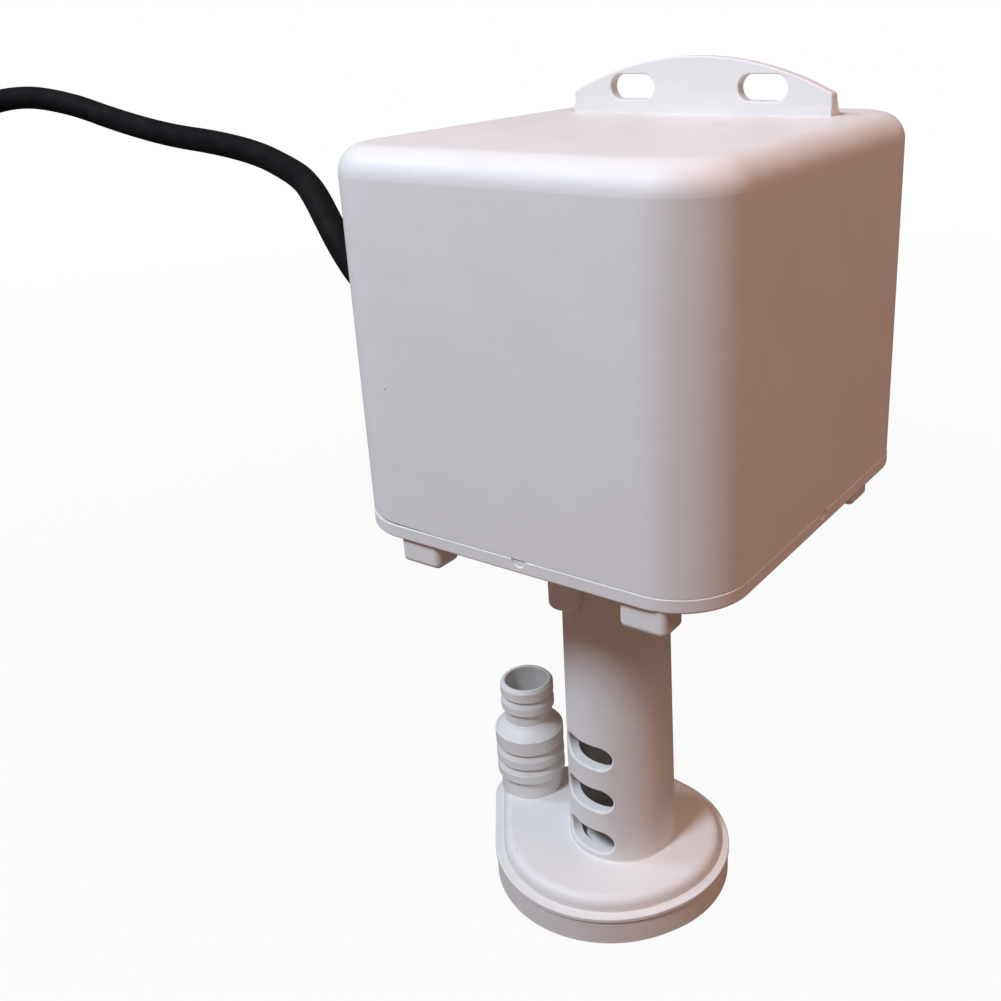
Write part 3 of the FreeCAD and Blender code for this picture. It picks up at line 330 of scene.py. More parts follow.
@dataclass(frozen=True)
class WorkedMetal(Finish):
    """Bare or plated metal: full metal, with grain whose size says cast, ground or plated."""

    shade: str = "B9BABC"
    deep: str = "A4A5A8"
    roughness: float = 0.35
    gloss_spread: float = 0.08
    grain_mm: float = 0.8
    stretch: tuple[float, float, float] = (1.0, 1.0, 1.0)
    height_mm: float = 0.02

    def dress(self, tree: bpy.types.NodeTree, shader: bpy.types.Node) -> None:
        """Adds grain to the colour, the gloss and the surface.

        Args:
            tree: The material's node tree.
            shader: Its Principled BSDF.
        """
        place = add_node(tree, "TexCoord").outputs["Object"]
        lying = add_node(tree, "Mapping", {"Vector": place, "Scale": self.stretch})
        grain = add_node(tree, "TexNoise", {"Vector": lying.outputs[0], "Scale": per_mm(self.grain_mm),
                                            "Detail": 4.0})
        mixed = add_node(tree, "Mix", {0: grain.outputs[0], 6: linear(self.deep), 7: linear(self.shade)},
                         data_type="RGBA")
        gloss = add_node(tree, "MapRange", {"Value": grain.outputs[0],
                                            "To Min": self.roughness - self.gloss_spread,
                                            "To Max": self.roughness + self.gloss_spread})
        bump = add_node(tree, "Bump", {"Height": grain.outputs[0], "Strength": 0.7,
                                       "Distance": self.height_mm * MM})
        tree.links.new(mixed.outputs[2], shader.inputs["Base Color"])
        tree.links.new(gloss.outputs[0], shader.inputs["Roughness"])
        tree.links.new(bump.outputs[0], shader.inputs["Normal"])
        shader.inputs["Metallic"].default_value = 1.0


@dataclass(frozen=True)
class BandedMetal(Finish):
    """Stacked sheets or turns of wire, side by side, with a fine line between each two."""

    shade: str = "5C6066"
    gap_shade: str = "26282B"
    gap_depth_mm: float = 0.1
    roughness: float = 0.45
    axis: int = 2
    pitch_mm: float = 2.0
    mottle_mm: float = 5.0

    def dress(self, tree: bpy.types.NodeTree, shader: bpy.types.Node) -> None:
        """Adds the lines between sheets or turns, as colour and as bump.

        Args:
            tree: The material's node tree.
            shader: Its Principled BSDF.
        """
        place = add_node(tree, "TexCoord").outputs["Object"]
        along = add_node(tree, "SeparateXYZ", {"Vector": place}).outputs[self.axis]
        # the ramp runs up over half a pitch and down over the other half
        turns = add_node(tree, "Math", {0: along, 1: per_mm(self.pitch_mm / 2)}, operation="MULTIPLY")
        ramp = add_node(tree, "Math", {0: turns.outputs[0], 1: 1.0}, operation="PINGPONG")
        ridge = add_node(tree, "MapRange", {"Value": ramp.outputs[0], "From Min": 0.0, "From Max": 0.35})
        cloud = add_node(tree, "TexNoise", {"Vector": place, "Scale": per_mm(self.mottle_mm), "Detail": 3.0})
        shaded = add_node(tree, "Math", {0: ridge.outputs[0], 1: cloud.outputs[0]}, operation="MULTIPLY")
        lit = add_node(tree, "MapRange", {"Value": shaded.outputs[0], "From Max": 0.6})
        mixed = add_node(tree, "Mix", {0: lit.outputs[0], 6: linear(self.gap_shade), 7: linear(self.shade)},
                         data_type="RGBA")
        bump = add_node(tree, "Bump", {"Height": ridge.outputs[0], "Strength": 0.8,
                                       "Distance": self.gap_depth_mm * MM})
        tree.links.new(mixed.outputs[2], shader.inputs["Base Color"])
        tree.links.new(bump.outputs[0], shader.inputs["Normal"])
        shader.inputs["Metallic"].default_value = 1.0
        shader.inputs["Roughness"].default_value = self.roughness


@dataclass(frozen=True)
class WovenTape(Finish):
    """Polyester winding tape: a fine over-and-under weave under a thin varnish."""

    shade: str = "D8C27A"
    deep: str = "A98F45"
    roughness: float = 0.5
    thread_mm: float = 0.8
    weave_depth_mm: float = 0.05

    def dress(self, tree: bpy.types.NodeTree, shader: bpy.types.Node) -> None:
        """Adds the weave as colour and bump.

        Args:
            tree: The material's node tree.
            shader: Its Principled BSDF.
        """
        place = add_node(tree, "TexCoord").outputs["Object"]
        check = add_node(tree, "TexChecker", {"Vector": place, "Scale": per_mm(self.thread_mm),
                                              "Color1": linear(self.shade), "Color2": linear(self.deep)})
        bump = add_node(tree, "Bump", {"Height": check.outputs["Fac"], "Strength": 0.5,
                                       "Distance": self.weave_depth_mm * MM})
        tree.links.new(check.outputs["Color"], shader.inputs["Base Color"])
        tree.links.new(bump.outputs[0], shader.inputs["Normal"])
        shader.inputs["Roughness"].default_value = self.roughness


# ABS, moulded in a spark-eroded tool: even satin white, slightly warm, with dirt specks from handling
HOUSING_ABS = HandledPlastic("abs_satin_white", roughness=0.5, ior=1.45)
# Polypropylene, moulded: a colder white than the ABS, with the same soft gloss
IMPELLER_PP = MouldedPlastic("polypropylene_white", shade="E8E8E4", deep="DADAD4", roughness=0.5, ior=1.49)
# Nylon, natural colour: milky cream, waxy gloss
NATURAL_NYLON = MouldedPlastic("nylon_natural", shade="E9E3D0", deep="DED6BE", roughness=0.38)
# Glass-filled nylon, moulded black: dull, and mottled where glass lies near the skin
BLACK_NYLON = MouldedPlastic("nylon_black", shade="26262A", deep="1B1B1E", roughness=0.5, mottle_mm=3.0)
# Flexible PVC, extruded black: dull sheen and a little dust
CORD_PVC = FlexibleJacket("pvc_cord_black")
# Nitrile rubber, moulded: matt black
NITRILE = FlexibleJacket("nitrile_rubber", shade="1B1B1B", dust="33302D", roughness=0.7, ior=1.52)
# PVC wire insulation, extruded: one plain colour for each core
WIRE_BLACK = WireInsulation("pvc_wire_black", shade="1A1A1C", dust="2C2C2E")
WIRE_WHITE = WireInsulation("pvc_wire_white", shade="E4E2DC", dust="C9C6BE")
WIRE_GREEN = WireInsulation("pvc_wire_green", shade="1F7A3C", dust="2E6A40")
# Steel, zinc plated: bright, faintly bluish
ZINC_STEEL = WorkedMetal("steel_zinc_plated", shade="C3C6CB", deep="A9ADB4", roughness=0.3, height_mm=0.01)
# Stainless steel, ground: lines run round the shaft
GROUND_STEEL = WorkedMetal("steel_ground", shade="BFC0C1", deep="A6A7A9", roughness=0.25, grain_mm=0.6,
                           stretch=(0.1, 0.1, 1.0), height_mm=0.01)
# Aluminium alloy, die cast: grey, with the slight pebble of the die
CAST_ALLOY = WorkedMetal("aluminium_die_cast", shade="A9AAAC", deep="929397", roughness=0.5, grain_mm=1.6,
                         height_mm=0.05)
# Aluminium, cast into the rotor: brighter than the brackets
CAGE_ALUMINIUM = WorkedMetal("aluminium_cage", shade="C9CACC", deep="B4B5B8", roughness=0.4, grain_mm=1.2)
# Bronze, sintered and oiled: brown, with open pores
SINTERED_BRONZE = WorkedMetal("bronze_sintered", shade="8A6A42", deep="5F4527", roughness=0.45, grain_mm=0.5,
                              height_mm=0.04)
# Brass, tinned: pale, soft gloss
TINNED_BRASS = WorkedMetal("brass_tinned", shade="CFCBBE", deep="B8B3A3", roughness=0.3, height_mm=0.01)
# Silicon steel sheets, stacked: bluish grey, drawn at 2 mm pitch where the real sheets are 0.5 mm
LAMINATIONS = BandedMetal("silicon_steel_stack")
# Copper wire, enamelled: reddish, drawn at 1.8 mm pitch where the real wire is 0.3 mm
ENAMELLED_COPPER = BandedMetal("copper_enamelled", shade="B5622F", gap_shade="5A2A12", roughness=0.3,
                               axis=0, pitch_mm=1.8)
# Polyester tape, woven and varnished: straw yellow, drawn with threads of 0.8 mm where they are 0.2 mm
WINDING_TAPE = WovenTape("polyester_tape")


def turned(profile: Sequence[tuple[float, float]], centre: Vector, axis: Vector,
           steps: int) -> bmesh.types.BMesh:
    """Spins a closed half profile round an axis.

    Args:
        profile: Radius and distance along the axis of each corner, in millimetres.
        centre: Where the axis starts, in metres.
        axis: Direction of the axis.
        steps: Number of segments round the axis.

    Returns:
        The turned mesh, closed and facing outwards.
    """
    side = axis.orthogonal().normalized()
    mesh = bmesh.new()
    corners = [mesh.verts.new(centre + (axis * along + side * radius) * MM) for radius, along in profile]
    for index, corner in enumerate(corners):
        following = (index + 1) % len(corners)
        # a line on the axis itself would turn to nothing
        if profile[index][0] > 0 or profile[following][0] > 0:
            mesh.edges.new((corner, corners[following]))
    bmesh.ops.spin(mesh, geom=mesh.verts[:] + mesh.edges[:], cent=centre, axis=axis, dvec=(0, 0, 0),
                   angle=math.tau, steps=steps, use_merge=True, use_duplicate=False)
    bmesh.ops.remove_doubles(mesh, verts=mesh.verts[:], dist=SAME_PLACE)
    bmesh.ops.recalc_face_normals(mesh, faces=mesh.faces[:])
    return mesh


def block(low: Vector, high: Vector) -> bmesh.types.BMesh:
    """Makes a box between two corners.

    Args:
        low: Lowest corner in metres.
        high: Highest corner in metres.

    Returns:
        The box's mesh.
    """
    mesh = bmesh.new()
    bmesh.ops.create_cube(mesh, size=1.0)
    bmesh.ops.scale(mesh, vec=high - low, verts=mesh.verts[:])
    bmesh.ops.translate(mesh, vec=(low + high) / 2, verts=mesh.verts[:])
    return mesh


def bevel(mesh: bmesh.types.BMesh, edges: list[bmesh.types.BMEdge], width: float, segments: int) -> None:
    """Rounds some edges.

    Args:
        mesh: The mesh to change.
        edges: The edges to round.
        width: Width of the bevel in millimetres.
        segments: Number of faces across the bevel.
    """
    bmesh.ops.bevel(mesh, geom=edges, offset=width * MM, offset_type="OFFSET", affect="EDGES",
                    segments=segments, profile=0.5, material=-1, clamp_overlap=True)


def soften(mesh: bmesh.types.BMesh, width: float) -> None:
    """Bevels the edges that turn sharply.

    Args:
        mesh: The mesh to change.
        width: Width of the bevel in millimetres.
    """
    sharp = [edge for edge in mesh.edges
             if len(edge.link_faces) == 2 and edge.calc_face_angle() > BEVELLED_TURN]
    bevel(mesh, sharp, width, segments=2)


class SubAssembly:
    """Pieces that belong together, and how they are kept in the frame."""

    body = Body.HOUSING

    def dress_nodes(self, finish: Finish, *names: str) -> None:
        """Gives CAD nodes a finish through their material slots.

        Args:
            finish: The finish that they take.
            *names: Names of the CAD nodes.
        """
        for name in names:
            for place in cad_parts[name].material_slots:
                place.material = finish.material()
            LOG.info("dressed %s of the %s in %s", name, self.body.value, finish.name)

    def keep(self, name: str, mesh: bmesh.types.BMesh, finish: Finish, slot: Slot,
             *nodes: str) -> bpy.types.Object:
        """Makes an object of a mesh and ties it to the frame.

        Args:
            name: Name of the piece.
            mesh: Its mesh, freed here.
            finish: Its finish.
            slot: The record's slot of that finish.
            *nodes: CAD nodes that it stands for.

        Returns:
            The new object.
        """
        for face in mesh.faces:
            face.smooth = True
        for edge in mesh.edges:
            edge.smooth = len(edge.link_faces) < 2 or edge.calc_face_angle() < SMOOTHED_TURN
        data = bpy.data.meshes.new(name)
        mesh.to_mesh(data)
        mesh.free()
        return self.tie_in(add_object(name, data), finish, slot, *nodes)

    def tie_in(self, piece: bpy.types.Object, finish: Finish, slot: Slot, *nodes: str) -> bpy.types.Object:
        """Dresses a piece and makes it ride on its body.

        Args:
            piece: The new object.
            finish: Its finish.
            slot: The record's slot of that finish; not used.
            *nodes: CAD nodes that it stands for.

        Returns:
            The same object.
        """
        piece.data.materials.append(finish.material())
        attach(piece, self.body.value)
        if nodes:
            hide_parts(*nodes)
        LOG.info("built %s in place of %s", piece.name, ", ".join(nodes) or "nothing")
        return piece


@dataclass
class StrainRelief(SubAssembly):
    """The tapered sleeve that guards the lead where it leaves the motor cover."""

    cord_diameter: float
    neck_radius: float = 5.9
    neck_depth: float = 5.0
    collar_radius: float = 8.6
    collar_height: float = 2.6
    root_radius: float = 7.15
    tip_wall: float = 1.25
    groove_count: int = 5
    first_groove: float = 1.5
    plain_length: float = 2.4
    # depth and distance from its start of each corner of one groove
    groove: Sequence[tuple[float, float]] = ((0.0, 0.0), (1.1, 0.25), (1.25, 1.15), (0.15, 1.4))
    edge_round: float = 0.25
    steps: int = 56

    def build(self) -> bpy.types.Object:
        """Makes the sleeve, with its neck in the wall, its collar and its flexing grooves.

        Returns:
            The strain relief.
        """
        low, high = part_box("strain_relief")
        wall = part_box("motor_cover")[0].x
        centre = Vector((wall, (low.y + high.y) / 2, (low.z + high.z) / 2))
        tip = (wall - low.x) / MM
        tip_radius = self.cord_diameter / 2 + self.tip_wall
        narrowing = tip_radius - self.root_radius
        sleeve = tip - self.collar_height
        profile = [(0.0, -self.neck_depth), (self.neck_radius, -self.neck_depth), (self.neck_radius, 0.0),
                   (self.collar_radius, 0.0), (self.collar_radius, self.collar_height),
                   (self.root_radius, self.collar_height)]
        pitch = (sleeve - self.plain_length) / self.groove_count
        for index in range(self.groove_count):
            start = self.collar_height + self.first_groove + index * pitch
            here = self.root_radius + narrowing * (start - self.collar_height) / sleeve
            profile += [(here - depth, start + along) for depth, along in self.groove]
        profile += [(tip_radius, tip), (0.0, tip)]
        mesh = turned(profile, centre, Vector((-1, 0, 0)), self.steps)
        soften(mesh, self.edge_round)
        return self.keep("cord_strain_relief", mesh, CORD_PVC, Slot.CORD, "strain_relief")


@dataclass
class CableTie(SubAssembly):
    """The nylon tie that holds the stored coil together."""

    reach: float = 5.1
    steps: int = 60
    band: float = 1.1
    # corners of the head and of the tail, counted from the tie's lower edge on its outer side
    head: Sequence[tuple[float, float, float]] = ((-0.6, -1.4, 1.8), (0.6, 3.4, 8.6))
    tail: Sequence[tuple[float, float, float]] = ((0.4, 0.6, 2.0), (-0.4, 1.8, 16.0))
    edge_round: float = 0.4

    def band_points(self, low: Vector, high: Vector) -> list[Vector]:
        """Lists the points of a belt round the three turns that lie in the tie.

        Args:
            low: The tie's lowest corner in metres.
            high: Its highest corner in metres.

        Returns:
            The belt's outer points, in a plane across the cords.
        """
        reach = self.reach * MM
        hubs = (Vector((low.x, low.y + reach, low.z + reach)),
                Vector((low.x, high.y - reach, low.z + reach)),
                Vector((low.x, (low.y + high.y) / 2, high.z - reach)))
        points = []
        for step in range(self.steps):
            turn = math.tau * step / self.steps
            way = Vector((0.0, math.cos(turn), math.sin(turn)))
            points.append(max(hubs, key=way.dot) + way * reach)
        return points

    def build(self) -> bpy.types.Object:
        """Makes the band round the coil, its head and its tail.

        Returns:
            The cable tie.
        """
        low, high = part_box("cord_tie")
        mesh = bmesh.new()
        verts = [mesh.verts.new(point) for point in self.band_points(low, high)]
        ring = [mesh.edges.new((vert, verts[index - 1])) for index, vert in enumerate(verts)]
        swept = bmesh.ops.extrude_edge_only(mesh, edges=ring)["geom"]
        bmesh.ops.translate(mesh, verts=[item for item in swept if isinstance(item, bmesh.types.BMVert)],
                            vec=Vector((high.x - low.x, 0.0, 0.0)))
        bmesh.ops.recalc_face_normals(mesh, faces=mesh.faces[:])
        bmesh.ops.solidify(mesh, geom=mesh.faces[:], thickness=self.band * MM)
        for first, last in (self.head, self.tail):
            part = block(Vector((low.x + first[0] * MM, high.y + first[1] * MM, low.z + first[2] * MM)),
                         Vector((high.x + last[0] * MM, high.y + last[1] * MM, low.z + last[2] * MM)))
            soften(part, self.edge_round)
            joined = bpy.data.meshes.new("tie_part")
            part.to_mesh(joined)
            part.free()
            mesh.from_mesh(joined)
            bpy.data.meshes.remove(joined)
        bmesh.ops.recalc_face_normals(mesh, faces=mesh.faces[:])
        return self.keep("coil_tie", mesh, BLACK_NYLON, Slot.TIE, "cord_tie")


@dataclass
class CordConnector(SubAssembly):
    """The connector at the lead's far end: ribbed boot, shell, latch and pins."""

    boot_radius: float = 4.75
    boot_flare: float = 1.3
    rib_count: int = 4
    first_rib: float = 1.6
    plain_length: float = 2.6
    # depth and distance from its start of each corner of one rib's groove
    rib: Sequence[tuple[float, float]] = ((0.0, 0.0), (0.5, 0.2), (0.45, 1.1), (-0.1, 1.3))
    boot_round: float = 0.2
    boot_steps: int = 40
    corner_round: float = 1.5
    corner_segments: int = 4
    wall: float = 1.6
    socket_depth: float = 13.0
    shell_round: float = 0.25
    groove_count: int = 4
    groove_start: float = 7.4
    groove_pitch: float = 2.3
    groove_slope: float = 0.25
    groove_floor: float = 0.7
    groove_depth: float = 0.5

    def build_boot(self) -> bpy.types.Object:
        """Makes the ribbed boot where the cord enters its connector.

        Returns:
            The boot.
        """
        low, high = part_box("connector_boot")
        centre = Vector(((low.x + high.x) / 2, low.y, (low.z + high.z) / 2))
        length = (high.y - low.y) / MM
        profile = [(0.0, 0.0), (self.boot_radius, 0.0)]
        for index in range(self.rib_count):
            start = self.first_rib + index * (length - self.plain_length) / self.rib_count
            here = self.boot_radius + self.boot_flare * start / length
            profile += [(here - depth, start + along) for depth, along in self.rib]
        profile += [(self.boot_radius + self.boot_flare, length), (0.0, length)]
        mesh = turned(profile, centre, Vector((0, 1, 0)), self.boot_steps)
        soften(mesh, self.boot_round)
        return self.keep("connector_sleeve", mesh, CORD_PVC, Slot.CORD, "connector_boot")

    def cut_grooves(self, mesh: bmesh.types.BMesh, low: Vector, high: Vector) -> None:
        """Runs the grip grooves down both sides of the connector's shell.

        Args:
            mesh: The shell's mesh, still a closed block.
            low: Its lowest corner in metres.
            high: Its highest corner in metres.
        """
        middle = ((low + high) / 2).x
        narrowed = 1 - 2 * self.groove_depth / ((high - low) / MM).x
        floor_end = self.groove_slope + self.groove_floor
        for index in range(self.groove_count):
            start = low.y + (self.groove_start + index * self.groove_pitch) * MM
            places = [start + step * MM
                      for step in (0.0, self.groove_slope, floor_end, floor_end + self.groove_slope)]
            for place in places:
                bmesh.ops.bisect_plane(mesh, geom=mesh.verts[:] + mesh.edges[:] + mesh.faces[:],
                                       plane_co=(0, place, 0), plane_no=(0, 1, 0))
            for vert in mesh.verts:
                if places[1] - SAME_PLACE < vert.co.y < places[2] + SAME_PLACE:
                    vert.co.x = middle + (vert.co.x - middle) * narrowed

    def build_shell(self) -> bpy.types.Object:
        """Makes the connector's shell with its socket and grip grooves.

        Returns:
            The connector's shell.
        """
        low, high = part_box("connector_body")
        mesh = block(low, high)
        along = [edge for edge in mesh.edges if abs((edge.verts[0].co - edge.verts[1].co).y) > SAME_PLACE]
        bevel(mesh, along, self.corner_round, self.corner_segments)
        self.cut_grooves(mesh, low, high)
        mouth = max(mesh.faces, key=lambda face: face.calc_center_median().y)
        bmesh.ops.inset_region(mesh, faces=[mouth], thickness=self.wall * MM, use_even_offset=True)
        sunk = bmesh.ops.extrude_face_region(mesh, geom=[mouth])["geom"]
        bmesh.ops.delete(mesh, geom=[mouth], context="FACES_ONLY")
        bmesh.ops.translate(mesh, verts=[item for item in sunk if isinstance(item, bmesh.types.BMVert)],
                            vec=(0, -self.socket_depth * MM, 0))
        soften(mesh, self.shell_round)
        bmesh.ops.recalc_face_normals(mesh, faces=mesh.faces[:])
        return self.keep("connector_shell", mesh, NATURAL_NYLON, Slot.CONNECTOR, "connector_body")

    def build(self) -> list[bpy.types.Object]:
        """Builds the boot and the shell, and dresses the latch and the pins.

        Returns:
            All pieces that the lead carries at its end.
        """
        boot, shell = self.build_boot(), self.build_shell()
        self.dress_nodes(NATURAL_NYLON, "connector_latch")
        self.dress_nodes(TINNED_BRASS, "connector_pins")
        return [boot, shell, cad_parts["connector_latch"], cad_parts["connector_pins"]]


@dataclass
class SupplyCord(SubAssembly):
    """The black lead: its free run, its stored coil and its tail, with the pieces on it."""

    diameter: float = 7.9
    exit: tuple[float, float, float] = (-66.0, 26.0, 130.0)
    # the free run, counted from the exit
    leaving: Sequence[tuple[float, float, float]] = (
        (0, 0, 0), (-12, 0, 0), (-23.3, -0.2, 3.2), (-32.8, -0.6, 9.5), (-40, -0.2, 17.6),
        (-47.4, 2.2, 25.1), (-56.2, 6.8, 30.6), (-68, 14, 33.4), (-82, 21, 35.2),
        (-101, 25.8, 38.8), (-123, 27, 41.5), (-148, 27.5, 43), (-174, 26, 47.5),
        (-196, 23, 53.5), (-216.8, 16.6, 56.6), (-234.8, 5, 51.6),
    )
    coil_centre: tuple[float, float, float] = (-391.0, -22.0, 0.0)
    # the way down to the coil, counted from its centre
    arriving: Sequence[tuple[float, float, float]] = (
        (78.7, 39.3, 168.7), (73.6, 28.7, 149), (71.7, 23.6, 125.6), (70, 21.5, 99.7),
        (68.4, 20.6, 73.8), (66.7, 17.7, 43.5), (62.1, 9, 24.6), (53.4, -3.9, 11.8), (41, -18.5, 6.4),
    )
    inner_turn: float = 38.05
    outer_turn: float = 45.95
    low_layer: float = 5.15
    high_layer: float = 13.05
    # degrees travelled round the coil at which its line starts to change rows, and for how long it does
    inward_start: float = 285.0
    climb_start: float = 615.0
    outward_start: float = 936.0
    change_travel: float = 60.0
    # the last turn rises over the place where the lead comes down to the coil
    crossing: float = 1068.0
    crossing_travel: float = 45.0
    crossing_rise: float = 3.6
    coil_start: float = -24.0
    coil_travel: float = 1236.0
    points_per_turn: int = 16
    # distance past the coil and height of the tail's points
    tail: Sequence[tuple[float, float]] = (
        (9, 13.0), (18, 11.6), (26, 9.4), (33, 7.7), (38, 7.5), (44, 7.5),
    )
    # length in metres, from the exit to the connector
    length: float = 1.40

    def changed(self, travel: float, start: float) -> float:
        """Gives how far a change of rows has come.

        Args:
            travel: Degrees travelled from the coil's start.
            start: Degrees at which the change starts.

        Returns:
            The share of the change that is done, from 0 to 1.
        """
        return min(max((travel - start) / self.change_travel, 0.0), 1.0)

    def turn_radius(self, travel: float) -> float:
        """Gives the radius of the coil after some travel round it.

        Args:
            travel: Degrees travelled from the coil's start.

        Returns:
            The radius in millimetres.
        """
        inward = self.changed(travel, self.inward_start) - self.changed(travel, self.outward_start)
        return self.outer_turn + (self.inner_turn - self.outer_turn) * inward

    def turn_height(self, travel: float) -> float:
        """Gives the height of the coil's line after some travel round it.

        Args:
            travel: Degrees travelled from the coil's start.

        Returns:
            The height in millimetres.
        """
        climb = (self.high_layer - self.low_layer) * self.changed(travel, self.climb_start)
        hump = max(0.0, 1 - abs(travel - self.crossing) / self.crossing_travel)
        return self.low_layer + climb + self.crossing_rise * hump

    def route(self) -> list[Vector]:
        """Joins the free run, the coil's turns and the tail.

        Returns:
            Control points of the cord in metres.
        """
        points = [Vector(self.exit) + Vector(step) for step in self.leaving]
        middle = Vector(self.coil_centre)
        points += [middle + Vector(step) for step in self.arriving]
        step = 360 / self.points_per_turn
        # the curve runs inside its control points, which stand off by this factor
        stand_off = 1 / math.cos(math.radians(step / 2))
        travel = step
        while travel < self.coil_travel - step / 4:
            turn = math.radians(self.coil_start - travel)
            radius = self.turn_radius(travel) * stand_off
            points.append(middle + Vector((radius * math.cos(turn), radius * math.sin(turn),
                                           self.turn_height(travel))))
            travel += step
        points += [middle + Vector((-self.outer_turn, along, height))
                   for along, height in ((0.0, self.high_layer), *self.tail)]
        return [point * MM for point in points]

    def build_run(self) -> bpy.types.Object:
        """Makes the lead as one smooth NURBS line with its coil.

        Returns:
            The curve object.
        """
        curve = bpy.data.curves.new("supply_cord", "CURVE")
        curve.dimensions = "3D"
        curve.bevel_depth = self.diameter / 2 * MM
        curve.bevel_resolution = 6
        curve.resolution_u = 8
        curve.use_fill_caps = True
        line = curve.splines.new("NURBS")
        route = self.route()
        line.points.add(len(route) - 1)
        for point, place in zip(line.points, route):
            point.co = (*place, 1.0)
        line.order_u = 3
        line.use_endpoint_u = True
        piece = add_object("supply_cord", curve)
        return self.tie_in(piece, CORD_PVC, Slot.CORD, "cord_lead", "cord_coil", "cord_tail")

    def build(self) -> None:
        run = self.build_run()
        StrainRelief(self.diameter).build()
        tie = CableTie().build()
        boot, shell, latch, pins = CordConnector().build()
        start = self.route()[0]


@dataclass
class MotorHousing(SubAssembly):
    """The white motor cover with its flange, on the base plate."""

    def build(self) -> None:
        """Dresses the cover, the plate and the cord's grip."""
        self.dress_nodes(HOUSING_ABS, "motor_cover", "base_plate")
        self.dress_nodes(NATURAL_NYLON, "cord_grip")


@dataclass
class PumpEnd(SubAssembly):
    """The column, the volute and its cover, seal and screws."""

    def build(self) -> None:
        """Dresses the wet end."""
        self.dress_nodes(HOUSING_ABS, "pump_column", "volute_cover")
        self.dress_nodes(NITRILE, "volute_gasket")
        self.dress_nodes(ZINC_STEEL, "volute_screws", "column_screws")


@dataclass
class Rotor(SubAssembly):
    """The shaft and all that turns with it."""

    body = Body.ROTOR

    def build(self) -> None:
        """Dresses the turning pieces."""
        self.dress_nodes(GROUND_STEEL, "shaft", "rotor_spacers")
        self.dress_nodes(IMPELLER_PP, "impeller", "cooling_fan")
        self.dress_nodes(NITRILE, "slinger")
        self.dress_nodes(LAMINATIONS, "rotor_core")
        self.dress_nodes(CAGE_ALUMINIUM, "rotor_cage")


@dataclass
class Stator(SubAssembly):
    """The fixed part of the motor, with its bearings and wiring."""

    def build(self) -> None:
        """Dresses the core, the coil, the brackets and the wires."""
        self.dress_nodes(LAMINATIONS, "stator_core", "stator_bridge")
        self.dress_nodes(ENAMELLED_COPPER, "coil_winding", "shading_rings")
        self.dress_nodes(NATURAL_NYLON, "coil_bobbin", "thrust_washers")
        self.dress_nodes(WINDING_TAPE, "winding_tape")
        self.dress_nodes(BLACK_NYLON, "thermal_cutout")
        self.dress_nodes(TINNED_BRASS, "coil_terminals", "earth_terminal")
        self.dress_nodes(CAST_ALLOY, "lower_bracket", "upper_bracket")
        self.dress_nodes(SINTERED_BRONZE, "lower_bush", "upper_bush")
        self.dress_nodes(ZINC_STEEL, "frame_screws", "earth_screw", "bush_retainers")
        self.dress_nodes(WIRE_BLACK, "lead_wire_live")
        self.dress_nodes(WIRE_WHITE, "lead_wire_neutral")
        self.dress_nodes(WIRE_GREEN, "lead_wire_earth")


@dataclass(frozen=True)
class Lamp:
    """A soft area lamp aimed at the pump, with its place in millimetres and its size in metres."""

    name: str
    place: tuple[float, float, float]
    size: float
    watts: float
    colour: str


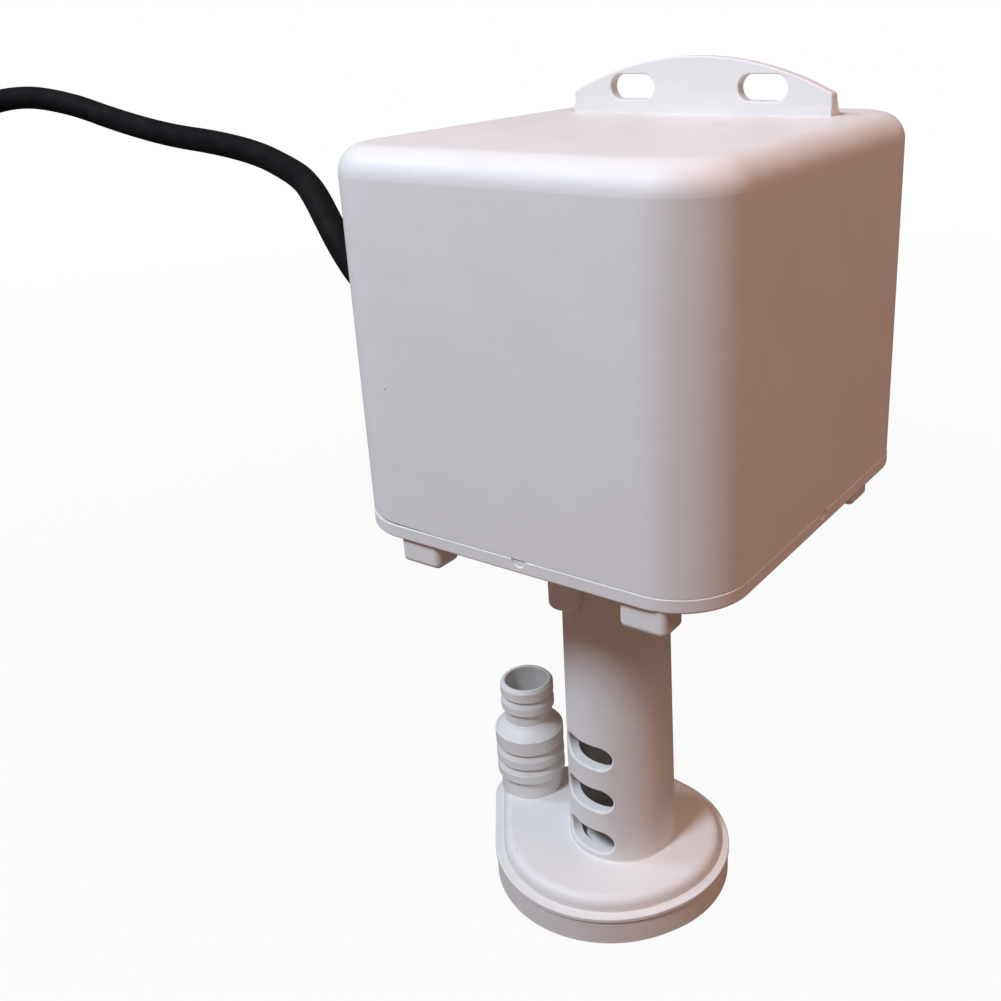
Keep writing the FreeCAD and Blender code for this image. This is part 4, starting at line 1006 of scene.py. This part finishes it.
@dataclass
class Studio:
    """Camera, lamps, floor and background."""

    camera_place: tuple[float, float, float] = (131.61, -198.52, 209.55)
    yaw: float = 34.63
    pitch: float = 20.30
    roll: float = -2.17
    lens: float = 40.80
    sensor_width: float = 36.0
    shift: tuple[float, float] = (-0.0895, -0.0741)
    target: tuple[float, float, float] = (0.0, 0.0, 100.0)
    floor_side: float = 6.0
    floor_shade: str = "887064"
    # how white the floor looks near the pump, and the distances over which it runs out into the white room
    near_white: float = 0.95
    fade_start: float = 0.3
    fade_end: float = 0.9
    room_shade: str = "FFCFB4"
    room_strength: float = 0.17
    glow_shade: str = "FFDDCE"
    glow_strength: float = 0.22
    lamps: Sequence[Lamp] = field(default_factory=lambda: (
        Lamp("key_lamp", (-108.0, -545.0, 822.0), 0.2, 7.2, "DCEAFF"),
        Lamp("left_lamp", (-579.0, -335.0, 740.0), 0.2, 2.6, "CFE8FF"),
        Lamp("warm_fill", (480.0, 60.0, 760.0), 0.6, 2.5, "FFCDBA"),
    ))

    def set_camera(self) -> None:
        """Places the camera at the photograph's viewpoint."""
        data = bpy.data.cameras.new("photo_view")
        data.lens = self.lens
        data.sensor_width = self.sensor_width
        data.shift_x, data.shift_y = self.shift
        data.clip_start = 0.01
        camera = add_object("photo_view", data)
        turn = (Matrix.Rotation(math.radians(self.yaw), 4, "Z")
                @ Matrix.Rotation(math.radians(90 - self.pitch), 4, "X")
                @ Matrix.Rotation(math.radians(self.roll), 4, "Z"))
        camera.matrix_world = Matrix.Translation(Vector(self.camera_place) * MM) @ turn
        bpy.context.scene.camera = camera

    def hang_lamps(self) -> None:
        """Places the soft lamps, all aimed at the pump."""
        for lamp in self.lamps:
            data = bpy.data.lights.new(lamp.name, "AREA")
            data.shape = "DISK"
            data.size = lamp.size
            data.energy = lamp.watts
            data.color = linear(lamp.colour)[:3]
            light = add_object(lamp.name, data)
            place = Vector(lamp.place) * MM
            aim = Vector(self.target) * MM - place
            turn = aim.to_track_quat("-Z", "Y").to_matrix().to_4x4()
            light.matrix_world = Matrix.Translation(place) @ turn

    def lay_floor(self) -> None:
        """Lays a white floor that keeps a faint shadow."""
        mesh = bmesh.new()
        bmesh.ops.create_grid(mesh, x_segments=1, y_segments=1, size=self.floor_side / 2)
        data = bpy.data.meshes.new("floor")
        mesh.to_mesh(data)
        mesh.free()
        floor = add_object("floor", data)
        paper = bpy.data.materials.new("white_paper")
        tree = empty_tree(paper)
        seen = add_node(tree, "LightPath").outputs["Is Camera Ray"]
        place = add_node(tree, "TexCoord").outputs["Object"]
        away = add_node(tree, "VectorMath", {0: place}, operation="LENGTH")
        # the paper keeps the pump's shadow, and loses it further out
        fade = add_node(tree, "MapRange", {"Value": away.outputs["Value"], "From Min": self.fade_start,
                                           "From Max": self.fade_end, "To Min": self.near_white,
                                           "To Max": 1.0})
        veil = add_node(tree, "Math", {0: seen, 1: fade.outputs[0]}, operation="MULTIPLY")
        matt = add_node(tree, "BsdfDiffuse", {"Color": linear(self.floor_shade)})
        white = add_node(tree, "Emission", {"Color": linear("FFFFFF"), "Strength": 1.0})
        mixed = add_node(tree, "MixShader", {0: veil.outputs[0], 1: matt.outputs[0], 2: white.outputs[0]})
        add_node(tree, "OutputMaterial", {"Surface": mixed.outputs[0]})
        data.materials.append(paper)

    def set_world(self) -> None:
        """Makes a dim warm room that looks white to the camera and a little brighter in reflections."""
        world = bpy.data.worlds.new("pale_room")
        tree = empty_tree(world)
        path = add_node(tree, "LightPath")
        seen = add_node(tree, "Math", {0: path.outputs["Is Camera Ray"],
                                       1: path.outputs["Is Transmission Ray"]}, operation="MAXIMUM")
        dim = add_node(tree, "Background", {"Color": linear(self.room_shade),
                                            "Strength": self.room_strength})
        glow = add_node(tree, "Background", {"Color": linear(self.glow_shade),
                                             "Strength": self.glow_strength})
        white = add_node(tree, "Background", {"Color": linear("FFFFFF"), "Strength": 1.0})
        room = add_node(tree, "MixShader", {0: path.outputs["Is Glossy Ray"], 1: dim.outputs[0],
                                            2: glow.outputs[0]})
        mixed = add_node(tree, "MixShader", {0: seen.outputs[0], 1: room.outputs[0], 2: white.outputs[0]})
        add_node(tree, "OutputWorld", {"Surface": mixed.outputs[0]})
        bpy.context.scene.world = world

    def build(self) -> None:
        """Sets up the whole studio."""
        bpy.context.scene.view_settings.view_transform = "Standard"
        self.set_camera()
        self.hang_lamps()
        self.lay_floor()
        self.set_world()


def main() -> None:
    """Builds the studio and every sub-assembly in order."""
    logging.basicConfig(level=logging.INFO, format="%(name)s: %(message)s")
    Studio().build()
    for assembly in (SupplyCord(), MotorHousing(), PumpEnd(), Rotor(), Stator()):
        assembly.build()


if __name__ == "__main__":
    main()
